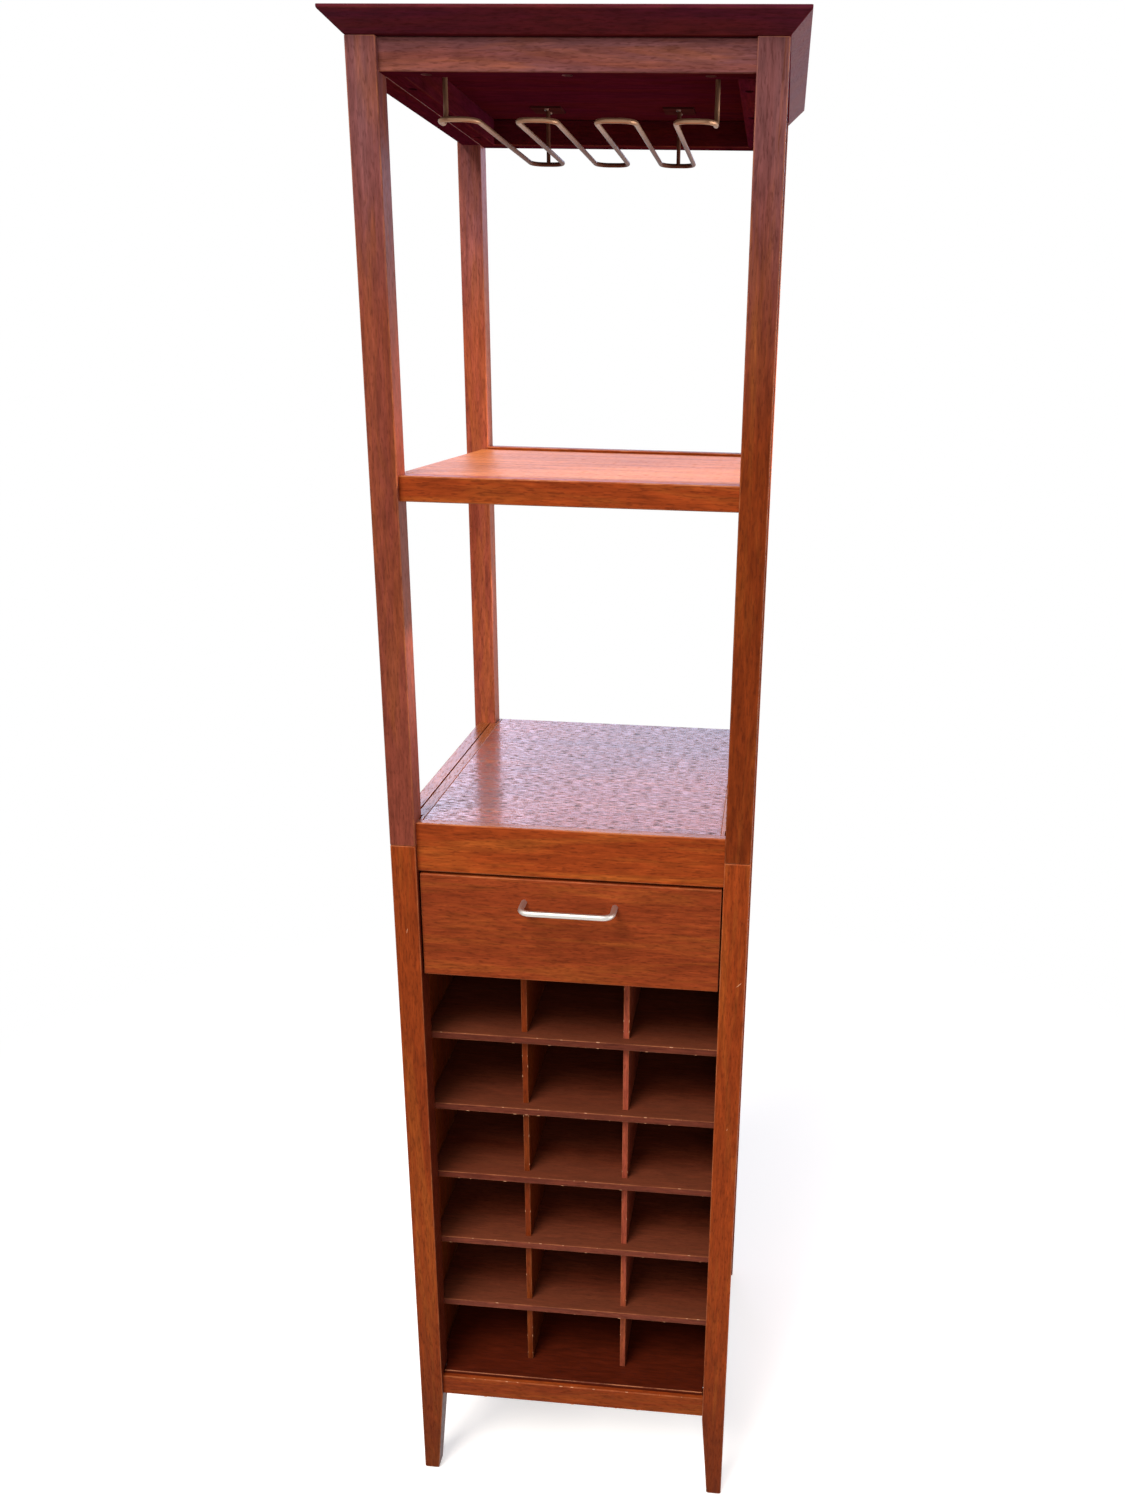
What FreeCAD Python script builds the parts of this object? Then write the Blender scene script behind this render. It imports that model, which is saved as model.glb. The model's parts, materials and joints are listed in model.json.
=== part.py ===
import FreeCAD, Part
import os
import re

# Bottle cabinet: an open rack for stemware, a shelf and a deck with a drawer, above a grid for bottles.
# Millimetres, +Z up, front towards -Y. The origin lies on the floor, midway between left and right
# and midway between the pull's front and the rear faces of the posts.

SIZES = (
    ("width", 396, "over the outer faces of the posts"),
    ("depth", 422, "over the front and rear faces of the posts"),
    ("height", 1697, "floor to the upper face of the top"),
    ("post", 28.5, "side of a square post"),
    ("foot_side", 19, "side of a post where it meets the floor"),
    ("foot_chamfer", 2, "broken edge round the foot"),
    ("post_joint_drop", 26, "upper face of the deck to the joint between upper and lower post"),
    ("dowel", 10, "diameter of the dowel in that joint"),
    ("dowel_reach", 25, "depth of the dowel in each post"),
    ("rail_recess", 5.5, "rails stand back from the outer faces of the posts"),
    ("tenon_thickness", 8, "thickness of the stub tenons on the rails"),
    ("tenon_margin", 2, "wood left between a tenon and a panel groove above or below it"),
    ("tenon_gap", 0.5, "wood left between two tenons that meet in a post"),
    ("top_thickness", 19.5, "thickness of the top"),
    ("top_fascia", 3, "upright edge of the top above its bevel"),
    ("top_overhang", 18, "top beyond the posts at the front and the sides"),
    ("top_rail_height", 28, "height of the rails under the top"),
    ("cleat_width", 17.5, "strips inside the side rails of the top"),
    ("cleat_screw_inset", 51.5, "end of such a strip to its outer screws"),
    ("rail_screw_inset", 40.5, "post to the outer screws of the front and rear top rails"),
    ("screw_shank", 4, "diameter of the wood screws of the top"),
    ("screw_head", 8, "diameter of their heads"),
    ("screw_head_height", 3, "height of their heads"),
    ("screw_bite", 12, "length of such a screw inside the top"),
    ("counterbore_play", 1, "room round a screw head in its hole"),
    ("counterbore_depth", 14, "depth of that hole"),
    ("shelf_height", 1296, "floor to the upper face of the middle shelf"),
    ("shelf_rail_height", 25.5, "height of the shelf's rails"),
    ("shelf_thickness", 16, "thickness of the shelf panel"),
    ("shelf_inset", 21, "edge of the shelf panel from the outer faces of the posts"),
    ("shelf_rear_gap", 2, "open joint between the shelf panel and its rear rail"),
    ("shelf_rear_lip", 3.3, "upper face of the shelf panel to the upper edge of its rear rail"),
    ("batten_width", 14, "width of the battens under the shelf panel"),
    ("rack_drop", 57, "ceiling to the plane of the rack wire"),
    ("rack_wire", 4.8, "diameter of the rack wire"),
    ("rack_bend", 14, "bend radius of the rack wire"),
    ("rack_front_margin", 28.5, "front top rail to the front bends of the rack"),
    ("rack_rear_margin", 63.5, "rear top rail to the rear bends of the rack"),
    ("rack_return", 34, "length of the rack's ends behind the front bends"),
    ("rack_margin", 20.75, "top strips to the outermost wire"),
    ("hanger_rod", 4.5, "diameter of the rear rods of the rack"),
    ("plate_margin", 3.5, "top strips to the nearest ceiling plates"),
    ("plate_thickness", 2, "thickness of the ceiling plates"),
    ("plate_screw_inset", 6, "edge of a ceiling plate to its screws"),
    ("plate_screw", 3, "diameter of the screws in the ceiling plates"),
    ("plate_screw_head", 6, "diameter of their heads"),
    ("plate_screw_head_height", 1.5, "height of their heads"),
    ("plate_screw_bite", 10, "length of such a screw inside the top"),
    ("deck_height", 926, "floor to the upper face of the deck"),
    ("deck_rail_height", 57, "height of the rails round the deck"),
    ("deck_thickness", 10, "thickness of the deck panel and its lippings"),
    ("deck_lip", 10, "strip of the front rail that shows before the deck panel"),
    ("deck_side_lip", 15, "strip of a side rail that shows beside the deck panel"),
    ("deck_gap", 1.4, "open joint between a panel and the posts and side rails"),
    ("lipping_reach", 5.4, "inner faces of the posts to the inner edges of the lippings"),
    ("bottom_rail_base", 125, "floor to the lower edge of the bottom rails, where the legs start to taper"),
    ("bottom_rail_height", 28.7, "height of the bottom rails"),
    ("bottom_rise", 4.7, "bottom panel above the bottom rails"),
    ("bottom_lip", 5.5, "strip of the front rail that shows before the bottom panel"),
    ("bottom_thickness", 10, "thickness of the bottom panel"),
    ("panel_groove", 6, "depth of the grooves for the side and back panels"),
    ("side_panel_thickness", 6, "thickness of the side panels"),
    ("side_panel_inset", 12.4, "outer faces of the posts to the side panels"),
    ("back_thickness", 4, "thickness of the back panel"),
    ("back_inset", 19, "rear faces of the posts to the back panel"),
    ("grid_front", 30, "front faces of the posts to the front edges of the grid shelves"),
    ("divider_setback", 12, "front edges of the grid shelves to those of the dividers"),
    ("grid_shelf_thickness", 8.7, "thickness of a grid shelf"),
    ("divider_thickness", 7, "thickness of a divider"),
    ("halving_share", 0.5, "share of the grid's depth where the halvings meet"),
    ("grid_fit", 0.1, "play on each side of a board in its halving"),
    ("grid_end_gap", 0.8, "play at the ends of the grid shelves and behind the grid"),
    ("drawer_gap", 3.4, "gap above the drawer front"),
    ("drawer_reveal", 1.5, "gap on each side of the drawer front"),
    ("drawer_front_height", 124.6, "height of the drawer front"),
    ("drawer_front_thickness", 18, "thickness of the drawer front"),
    ("drawer_side_drop", 22, "upper edge of the drawer front to the drawer sides"),
    ("drawer_side_thickness", 11, "thickness of the drawer sides and back"),
    ("drawer_side_gap", 4.5, "drawer sides to the inner faces of the posts"),
    ("drawer_housing", 6, "depth of the housings for the sides in the drawer front"),
    ("drawer_play", 0.3, "running play under, beside and behind the drawer"),
    ("drawer_bottom_thickness", 4, "thickness of the drawer bottom"),
    ("drawer_bottom_rise", 8, "lower edges of the drawer sides to the drawer bottom"),
    ("drawer_groove", 5, "depth of the grooves for the drawer bottom"),
    ("dust_thickness", 8, "thickness of the panel under the drawer"),
    ("guide_height", 30, "height of the guides beside the drawer"),
    ("stop_length", 27, "length of the stops behind the drawer"),
    ("stop_height", 20, "height of the stops behind the drawer"),
    ("pull_centres", 101.6, "between the screws of the pull"),
    ("pull_projection", 28.5, "drawer front to the middle of the pull's bar"),
    ("pull_bar", 6.5, "diameter of the pull's bar"),
    ("pull_bend", 11, "bend radius of the pull"),
    ("pull_drop", 27.5, "upper edge of the drawer front to the pull"),
    ("pull_screw", 4, "diameter of the screws of the pull"),
    ("pull_screw_head", 8, "diameter of their heads"),
    ("pull_screw_head_height", 2.5, "height of their heads"),
    ("pull_thread", 9, "depth of the threaded holes in the pull"),
)
GRID_SHELVES = 5
RACK_RUNS = 8

doc = FreeCAD.newDocument("bottle_cabinet")
sheet = doc.addObject("Spreadsheet::Sheet", "sizes")
for row, (alias, value, meaning) in enumerate(SIZES, 1):
    sheet.set(f"A{row}", meaning)
    sheet.set(f"B{row}", str(value))
    sheet.setAlias(f"B{row}", alias)
doc.recompute()

# Levels and faces that many pieces share, written as expressions of the sizes above
HALF = "(width / 2)"
INNER = "(width / 2 - post)"
FRONT = "((pull_projection + pull_bar / 2 - rail_recess - depth) / 2)"
REAR = f"({FRONT} + depth)"
BETWEEN = (f"({FRONT} + post)", f"({REAR} - post)")
CEILING = "(height - top_thickness)"
TOP_RAIL_BASE = f"({CEILING} - top_rail_height)"
CLEAT_FACE = f"({INNER} - cleat_width)"
DECK_BASE = "(deck_height - deck_rail_height)"
POST_JOINT = "(deck_height - post_joint_drop)"
BOTTOM_RAIL_TOP = "(bottom_rail_base + bottom_rail_height)"
BOTTOM = f"({BOTTOM_RAIL_TOP} + bottom_rise)"
SIDE_FACE = "(width / 2 - side_panel_inset - side_panel_thickness)"
DRAWER_TOP = f"({DECK_BASE} - drawer_gap)"
DRAWER_BASE = f"({DRAWER_TOP} - drawer_front_height)"
DRAWER_FACE = f"({FRONT} + rail_recess)"
DRAWER_SIDE = f"({INNER} - drawer_side_gap)"
BOX_INSIDE = f"({DRAWER_SIDE} - drawer_side_thickness)"
GRID_TOP = DRAWER_BASE
DUST_TOP = f"({GRID_TOP} + dust_thickness)"
GRID_REAR = f"({REAR} - post - grid_end_gap)"
GRID_FRONT = f"({FRONT} + grid_front)"
DIVIDER_FRONT = f"({GRID_FRONT} + divider_setback)"
STOP_FRONT = f"({GRID_REAR} - stop_length)"
DRAWER_END = f"({STOP_FRONT} - drawer_play)"
BOX_BASE = f"({DUST_TOP} + drawer_play)"
BOX_TOP = f"({DRAWER_TOP} - drawer_side_drop)"
BOX_FLOOR = f"({BOX_BASE} + drawer_bottom_rise)"
HALVING = f"({GRID_FRONT} + ({GRID_REAR} - {GRID_FRONT}) * halving_share)"
CELL_HEIGHT = f"(({GRID_TOP} - {BOTTOM} - {GRID_SHELVES} * grid_shelf_thickness) / {GRID_SHELVES + 1})"
CELL_WIDTH = f"((2 * {SIDE_FACE} - 2 * divider_thickness) / 3)"
TENON_LENGTH = "((post - rail_recess - tenon_thickness) / 2 - tenon_gap)"
TENON_SHOULDER = "(panel_groove + tenon_margin)"
RAIL_MIDDLE = "((rail_recess + post) / 2)"
RACK_PITCH = f"(2 * ({CLEAT_FACE} - rack_margin) / {RACK_RUNS - 1})"
RACK_LEVEL = f"({CEILING} - rack_drop)"
RACK_FRONT = f"({FRONT} + post + rack_front_margin)"
RACK_REAR = f"({REAR} - post - rack_rear_margin)"
RACK_END = f"({RACK_FRONT} + rack_return)"
PLATE_HALF = "(rack_margin - plate_margin)"
PLATE_FACE = f"({CEILING} - plate_thickness)"

pieces = []


def bound(text):
    """The expression with every size name pointing at its cell in the sheet."""
    return re.sub(r"[a-z_]+", r"sizes.\g<0>", text)


def measure(text):
    """The present value of an expression, for shapes that are built in code."""
    return float(sheet.evalExpression(bound(text)))


def piece(shape_object):
    """Notes a finished piece, to be checked and written at the end."""
    pieces.append(shape_object)
    return shape_object


def board(label, x, y, z):
    """A board between a low and a high limit along each axis."""
    made = doc.addObject("Part::Box", label)
    for side, axis, (low, high) in zip(("Length", "Width", "Height"), "xyz", (x, y, z)):
        made.setExpression(side, bound(f"{high} - ({low})"))
        made.setExpression(f"Placement.Base.{axis}", bound(low))
    return made


def tapered(label, low_x, low_y, high_x, high_y, z):
    """A block with four sloping sides between a lower and an upper rectangle."""
    made = doc.addObject("Part::Wedge", label)
    made.Placement.Rotation = FreeCAD.Rotation(FreeCAD.Vector(1, 0, 0), 90)
    limits = {
        "Xmin": low_x[0], "Xmax": low_x[1], "X2min": high_x[0], "X2max": high_x[1],
        "Zmin": f"-({low_y[1]})", "Zmax": f"-({low_y[0]})",
        "Z2min": f"-({high_y[1]})", "Z2max": f"-({high_y[0]})",
        "Ymin": z[0], "Ymax": z[1],
    }
    for name, text in limits.items():
        made.setExpression(name, bound(text))
    return made


def pin(label, place, diameter, length, direction=FreeCAD.Vector(0, 0, 1)):
    """A round bar from a place along a direction."""
    made = doc.addObject("Part::Cylinder", label)
    made.Placement.Rotation = FreeCAD.Rotation(FreeCAD.Vector(0, 0, 1), direction)
    made.setExpression("Radius", bound(f"({diameter}) / 2"))
    made.setExpression("Height", bound(length))
    for axis, text in zip("xyz", place):
        made.setExpression(f"Placement.Base.{axis}", bound(text))
    return made


def joined(label, *shapes):
    """One solid out of several that touch, or one tool out of several."""
    made = doc.addObject("Part::MultiFuse", label)
    made.Shapes = list(shapes)
    made.Refine = True
    return made


def cut(label, base, *tools):
    """The base without the space that the tools take."""
    made = doc.addObject("Part::Cut", label)
    made.Base = base
    made.Tool = tools[0] if len(tools) == 1 else joined(f"{label}_room", *tools)
    made.Refine = True
    return made


def group(label, *solids):
    """Separate solids of one kind, kept together as one piece."""
    made = doc.addObject("Part::Compound", label)
    made.Links = list(solids)
    return made


def both_sides(distance):
    """X limits at the same distance left and right of the middle."""
    return (f"-({distance})", distance)


def sideways(side, distance):
    """X at a distance from the middle, on the left or the right."""
    return distance if side == "right" else f"-({distance})"


def inwards(place, distance):
    """Y at a distance behind the front faces, or before the rear faces, of the posts."""
    return f"({FRONT} + {distance})" if place == "front" else f"({REAR} - ({distance}))"


def across(side, near, far):
    """X limits between two distances from the middle, on the left or the right."""
    limits = (sideways(side, near), sideways(side, far))
    return limits if side == "right" else limits[::-1]


def along(place, near, far):
    """Y limits between two distances behind the front faces, or before the rear faces, of the posts."""
    limits = (inwards(place, near), inwards(place, far))
    return limits if place == "front" else limits[::-1]


def bent_bar(points, diameter, bend):
    """A round bar along straight lines between points; each bend is a right angle, rounded."""
    corners = [FreeCAD.Vector(*(measure(text) for text in point)) for point in points]
    radius = measure(bend)
    edges = []
    start = corners[0]
    for before, corner, after in zip(corners, corners[1:], corners[2:]):
        back = (before - corner).normalize()
        onward = (after - corner).normalize()
        middle = (back + onward).normalize()
        arc_start = corner + back * radius
        arc_end = corner + onward * radius
        arc_top = corner + middle * (radius * 2 ** 0.5 - radius)
        edges.append(Part.LineSegment(start, arc_start).toShape())
        edges.append(Part.Arc(arc_start, arc_top, arc_end).toShape())
        start = arc_end
    edges.append(Part.LineSegment(start, corners[-1]).toShape())
    section = Part.Wire(Part.makeCircle(measure(diameter) / 2, corners[0], corners[1] - corners[0]))
    return Part.Wire(edges).makePipeShell([section], True, False)


# Rails, each with a stub tenon at both ends; the posts get their mortises from the same tenons
tenons = {}


def rail(label, place, z, tenon_z, *rooms):
    """A rail between two posts, with the rooms cut out of it."""
    if place in ("front", "rear"):
        stock = board(f"{label}_stock", both_sides(INNER), along(place, "rail_recess", "post"), z)
        flat = along(place, f"{RAIL_MIDDLE} - tenon_thickness / 2", f"{RAIL_MIDDLE} + tenon_thickness / 2")
        ends = {(place, side): (across(side, INNER, f"{INNER} + {TENON_LENGTH}"), flat)
                for side in ("left", "right")}
    else:
        stock = board(f"{label}_stock", across(place, INNER, f"{HALF} - rail_recess"), BETWEEN, z)
        flat = across(place, f"{HALF} - {RAIL_MIDDLE} - tenon_thickness / 2",
                      f"{HALF} - {RAIL_MIDDLE} + tenon_thickness / 2")
        ends = {(end, place): (flat, along(end, f"post - {TENON_LENGTH}", "post"))
                for end in ("front", "rear")}
    body = cut(f"{label}_cut", stock, *rooms) if rooms else stock
    own = []
    for corner, (x, y) in ends.items():
        tenon = board(f"{label}_tenon_{'_'.join(corner)}", x, y, tenon_z)
        tenons.setdefault((label.split("_")[0],) + corner, []).append(tenon)
        own.append(tenon)
    return piece(joined(label, body, *own))


# Top, with its screws from below through the front and rear rails and the side strips
top_z = (TOP_RAIL_BASE, CEILING)
screw_places = {"front": [], "rear": [], "left": [], "right": []}
for place in ("front", "rear"):
    y = inwards(place, RAIL_MIDDLE)
    for x in (f"-({INNER} - rail_screw_inset)", "0", f"{INNER} - rail_screw_inset"):
        screw_places[place].append((x, y))
for side in ("left", "right"):
    x = sideways(side, f"{INNER} - cleat_width / 2")
    for distance in ("post + cleat_screw_inset", "depth / 2", "depth - post - cleat_screw_inset"):
        screw_places[side].append((x, inwards("front", distance)))

head_seat = f"({TOP_RAIL_BASE} + counterbore_depth)"
top_screws = []
top_shanks = []
screw_rooms = {}
for place, spots in screw_places.items():
    rooms = []
    for count, (x, y) in enumerate(spots, 1):
        name = f"top_screw_{place}_{count}"
        shank = pin(f"{name}_shank", (x, y, head_seat), "screw_shank",
                    f"{CEILING} + screw_bite - {head_seat}")
        head = pin(f"{name}_head", (x, y, f"{head_seat} - screw_head_height"), "screw_head",
                   "screw_head_height")
        room = pin(f"{name}_counterbore", (x, y, TOP_RAIL_BASE), "screw_head + 2 * counterbore_play",
                   "counterbore_depth")
        top_screws.append(joined(name, head, shank))
        top_shanks.append(shank)
        rooms += [shank, room]
    screw_rooms[place] = rooms
piece(group("top_screws", *top_screws))

top_tenon_z = (f"{TOP_RAIL_BASE} + {TENON_SHOULDER}", f"{CEILING} - {TENON_SHOULDER}")
rail("top_rail_front", "front", top_z, top_tenon_z, *screw_rooms["front"])
rail("top_rail_rear", "rear", top_z, top_tenon_z, *screw_rooms["rear"])
for side in ("left", "right"):
    rail(f"top_rail_{side}", side, top_z, top_tenon_z)
    cleat = board(f"top_cleat_{side}_stock", across(side, CLEAT_FACE, INNER), BETWEEN, top_z)
    piece(cut(f"top_cleat_{side}", cleat, *screw_rooms[side]))

# Rack for stemware: one bent wire, two rear rods, and ceiling plates with a pair of screws each
columns = [f"({count} * {RACK_PITCH} - {CLEAT_FACE} + rack_margin)" for count in range(RACK_RUNS)]
path = [(columns[0], RACK_END, PLATE_FACE), (columns[0], RACK_END, RACK_LEVEL),
        (columns[0], RACK_FRONT, RACK_LEVEL)]
for count, column in enumerate(columns[1:-1]):
    turns = (RACK_FRONT, RACK_REAR) if count % 2 == 0 else (RACK_REAR, RACK_FRONT)
    path += [(column, y, RACK_LEVEL) for y in turns]
path += [(columns[-1], RACK_FRONT, RACK_LEVEL), (columns[-1], RACK_END, RACK_LEVEL),
         (columns[-1], RACK_END, PLATE_FACE)]
bent_wire = doc.addObject("Part::Feature", "rack_wire")
bent_wire.Shape = bent_bar(path, "rack_wire", "rack_bend")
piece(bent_wire)

plate_places = [(columns[0], RACK_END), (columns[-1], RACK_END)]
hangers = []
for side, first, second in (("left", 1, 2), ("right", 5, 6)):
    spot = (f"({columns[first]} + {columns[second]}) / 2", RACK_REAR)
    rod = pin(f"rack_rod_{side}", spot + (RACK_LEVEL,), "hanger_rod", f"{PLATE_FACE} - {RACK_LEVEL}")
    hangers.append(cut(f"rack_hanger_{side}", rod, bent_wire))
    plate_places.append(spot)
piece(group("rack_hangers", *hangers))

plates = []
plate_screws = []
plate_shanks = []
for count, (x, y) in enumerate(plate_places, 1):
    stock = board(f"rack_plate_{count}_stock", (f"{x} - {PLATE_HALF}", f"{x} + {PLATE_HALF}"),
                  (f"{y} - {PLATE_HALF}", f"{y} + {PLATE_HALF}"), (PLATE_FACE, CEILING))
    shanks = []
    for end, sign in (("front", "-"), ("rear", "+")):
        spot = (x, f"{y} {sign} ({PLATE_HALF} - plate_screw_inset)")
        name = f"rack_screw_{count}_{end}"
        shank = pin(f"{name}_shank", spot + (PLATE_FACE,), "plate_screw",
                    "plate_thickness + plate_screw_bite")
        head = pin(f"{name}_head", spot + (f"{PLATE_FACE} - plate_screw_head_height",), "plate_screw_head",
                   "plate_screw_head_height")
        plate_screws.append(joined(name, head, shank))
        shanks.append(shank)
    plates.append(cut(f"rack_plate_{count}", stock, *shanks))
    plate_shanks += shanks
piece(group("rack_plates", *plates))
piece(group("rack_screws", *plate_screws))

top_x = both_sides(f"{HALF} + top_overhang")
top_y = (f"{FRONT} - top_overhang", REAR)
bevel = tapered("top_bevel", both_sides(HALF), (FRONT, REAR), top_x, top_y, (CEILING, "height - top_fascia"))
fascia = board("top_fascia_board", top_x, top_y, ("height - top_fascia", "height"))
piece(cut("top_panel", joined("top_stock", bevel, fascia), *top_shanks, *plate_shanks))

# Middle shelf: two rails, the rear one a little higher, two battens on them, and the loose panel
shelf_base = "(shelf_height - shelf_rail_height)"
for place, lip in (("front", "0"), ("rear", "shelf_rear_lip")):
    shelf_z = (f"{shelf_base} + {lip}", f"shelf_height + {lip}")
    shelf_tenon_z = (f"{shelf_z[0]} + {TENON_SHOULDER}", f"{shelf_z[1]} - {TENON_SHOULDER}")
    rail(f"shelf_rail_{place}", place, shelf_z, shelf_tenon_z)
    piece(board(f"shelf_cleat_{place}", both_sides(INNER), along(place, "post", "post + batten_width"),
                (shelf_z[0], "shelf_height - shelf_thickness")))
piece(board("shelf_panel", both_sides(f"{HALF} - shelf_inset"),
            (BETWEEN[0], f"{BETWEEN[1]} - shelf_rear_gap"), ("shelf_height - shelf_thickness", "shelf_height")))

# Side and back panels of the lower cabinet, which run in grooves of the posts and rails
panel_z = (f"{BOTTOM_RAIL_TOP} - panel_groove", f"{DECK_BASE} + panel_groove")
side_panels = {}
panel_y = (f"{BETWEEN[0]} - panel_groove", f"{BETWEEN[1]} + panel_groove")
for side in ("left", "right"):
    panel_x = across(side, SIDE_FACE, f"{HALF} - side_panel_inset")
    side_panels[side] = piece(board(f"side_panel_{side}", panel_x, panel_y, panel_z))
back_panel = piece(board("back_panel", both_sides(f"{INNER} + panel_groove"),
                         along("rear", "back_inset", "back_inset + back_thickness"), panel_z))

# Frames of the deck and the bottom: rebated rails, so that the panels lie level with them
deck_lip_y = inwards("front", "rail_recess + deck_lip")
deck_lip_x = f"({HALF} - rail_recess - deck_side_lip)"
bottom_lip_y = inwards("front", "rail_recess + bottom_lip")
deck_z = ("deck_height - deck_thickness", "deck_height")
bottom_z = (f"{BOTTOM} - bottom_thickness", BOTTOM)
bottom_y = (bottom_lip_y, BETWEEN[1])
deck_rebate = board("deck_rebate", both_sides(deck_lip_x), (deck_lip_y, REAR), deck_z)
bottom_rebate = board("bottom_rebate", both_sides(SIDE_FACE), bottom_y, bottom_z)
deck_rail_z = (DECK_BASE, "deck_height")
deck_tenon_z = (f"{DECK_BASE} + {TENON_SHOULDER}", f"{POST_JOINT} - {TENON_SHOULDER}")
bottom_rail_z = ("bottom_rail_base", BOTTOM_RAIL_TOP)
bottom_tenon_z = (f"bottom_rail_base + {TENON_SHOULDER}", f"{BOTTOM_RAIL_TOP} - {TENON_SHOULDER}")
rail("deck_rail_front", "front", deck_rail_z, deck_tenon_z, deck_rebate)
rail("deck_rail_rear", "rear", deck_rail_z, deck_tenon_z, deck_rebate, back_panel)
rail("bottom_rail_front", "front", bottom_rail_z, bottom_tenon_z, bottom_rebate)
rail("bottom_rail_rear", "rear", bottom_rail_z, bottom_tenon_z, back_panel)
for side in ("left", "right"):
    rail(f"deck_rail_{side}", side, deck_rail_z, deck_tenon_z, deck_rebate, side_panels[side])
    rail(f"bottom_rail_{side}", side, bottom_rail_z, bottom_tenon_z, bottom_rebate, side_panels[side])

# Deck panel with lippings, and the bottom panel, all notched round the posts
field = f"({INNER} - lipping_reach)"
past_post = f"({INNER} - deck_gap)"
deck_edge = f"({deck_lip_x} - deck_gap)"
bottom_edge = f"({SIDE_FACE} - grid_end_gap)"
between_posts = (f"{BETWEEN[0]} + deck_gap", f"{BETWEEN[1]} - deck_gap")
deck_y = (deck_lip_y, f"{REAR} - rail_recess")
piece(board("deck_panel", both_sides(field), deck_y, deck_z))
for side in ("left", "right"):
    name = f"deck_lipping_{side}"
    long_strip = board(f"{name}_long", across(side, field, past_post), deck_y, deck_z)
    short_strip = board(f"{name}_short", across(side, past_post, deck_edge), between_posts, deck_z)
    piece(joined(name, long_strip, short_strip))
bottom_long = board("bottom_panel_long", both_sides(past_post), bottom_y, bottom_z)
bottom_wide = board("bottom_panel_wide", both_sides(bottom_edge), between_posts, bottom_z)
piece(joined("bottom_panel", bottom_long, bottom_wide))

# Posts: upper and lower, with a dowel in the joint between them
dowels = []
for place in ("front", "rear"):
    for side in ("left", "right"):
        x = across(side, f"{HALF} - post", HALF)
        y = along(place, "0", "post")
        middle = (sideways(side, f"{HALF} - post / 2"), inwards(place, "post / 2"))
        dowel_base = f"{POST_JOINT} - dowel_reach"
        post_pin = pin(f"dowel_{place}_{side}", middle + (dowel_base,), "dowel", "2 * dowel_reach")
        dowels.append(post_pin)
        name = f"upper_post_{place}_{side}"
        upper = board(f"{name}_stock", x, y, (POST_JOINT, CEILING))
        piece(cut(name, upper, post_pin, *tenons["top", place, side], *tenons["shelf", place, side]))
        foot_x = across(side, f"{HALF} - foot_side", HALF)
        foot_y = along(place, "0", "foot_side")
        sole_x = across(side, f"{HALF} - foot_side + foot_chamfer", f"{HALF} - foot_chamfer")
        sole_y = along(place, "foot_chamfer", "foot_side - foot_chamfer")
        name = f"lower_post_{place}_{side}"
        shaft = board(f"{name}_shaft", x, y, ("bottom_rail_base", POST_JOINT))
        leg = tapered(f"{name}_leg", foot_x, foot_y, x, y, ("foot_chamfer", "bottom_rail_base"))
        sole = tapered(f"{name}_sole", sole_x, sole_y, foot_x, foot_y, ("0", "foot_chamfer"))
        grooves = [side_panels[side]] + ([back_panel] if place == "rear" else [])
        piece(cut(name, joined(f"{name}_stock", shaft, leg, sole), post_pin, *grooves,
                  *tenons["deck", place, side], *tenons["bottom", place, side]))
piece(group("post_dowels", *dowels))

# Bottle grid: shelves and dividers, each slotted to half its depth
divider_x = f"(({CELL_WIDTH} + divider_thickness) / 2)"
shelf_end = f"({SIDE_FACE} - grid_end_gap)"
divider_near = f"({divider_x} - divider_thickness / 2)"
divider_far = f"({divider_x} + divider_thickness / 2)"
slots = []
for side in ("left", "right"):
    slot_x = across(side, f"{divider_near} - grid_fit", f"{divider_far} + grid_fit")
    slots.append(board(f"grid_slot_{side}", slot_x, (HALVING, REAR), (BOTTOM, GRID_TOP)))
notches = []
for count in range(1, GRID_SHELVES + 1):
    low = f"({GRID_TOP} - {count} * ({CELL_HEIGHT} + grid_shelf_thickness))"
    high = f"({low} + grid_shelf_thickness)"
    name = f"grid_shelf_{count}"
    stock = board(f"{name}_stock", both_sides(shelf_end), (GRID_FRONT, GRID_REAR), (low, high))
    piece(cut(name, stock, *slots))
    notches.append(board(f"grid_notch_{count}", both_sides(shelf_end), (FRONT, HALVING),
                         (low, f"{high} + 2 * grid_fit")))
for side in ("left", "right"):
    stock = board(f"grid_divider_{side}_stock", across(side, divider_near, divider_far),
                  (DIVIDER_FRONT, GRID_REAR), (BOTTOM, GRID_TOP))
    piece(cut(f"grid_divider_{side}", stock, *notches))

# Drawer space: panel under the drawer, guides beside it, stops behind it
piece(board("dust_panel", both_sides(SIDE_FACE), (BETWEEN[0], GRID_REAR), (GRID_TOP, DUST_TOP)))
stops = []
for side in ("left", "right"):
    piece(board(f"drawer_guide_{side}", across(side, f"{DRAWER_SIDE} + drawer_play", SIDE_FACE),
                (BETWEEN[0], GRID_REAR), (DUST_TOP, f"{DUST_TOP} + guide_height")))
    stops.append(board(f"drawer_stop_{side}", across(side, BOX_INSIDE, DRAWER_SIDE), (STOP_FRONT, GRID_REAR),
                       (DUST_TOP, f"{DUST_TOP} + stop_height")))
piece(group("drawer_stops", *stops))

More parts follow.
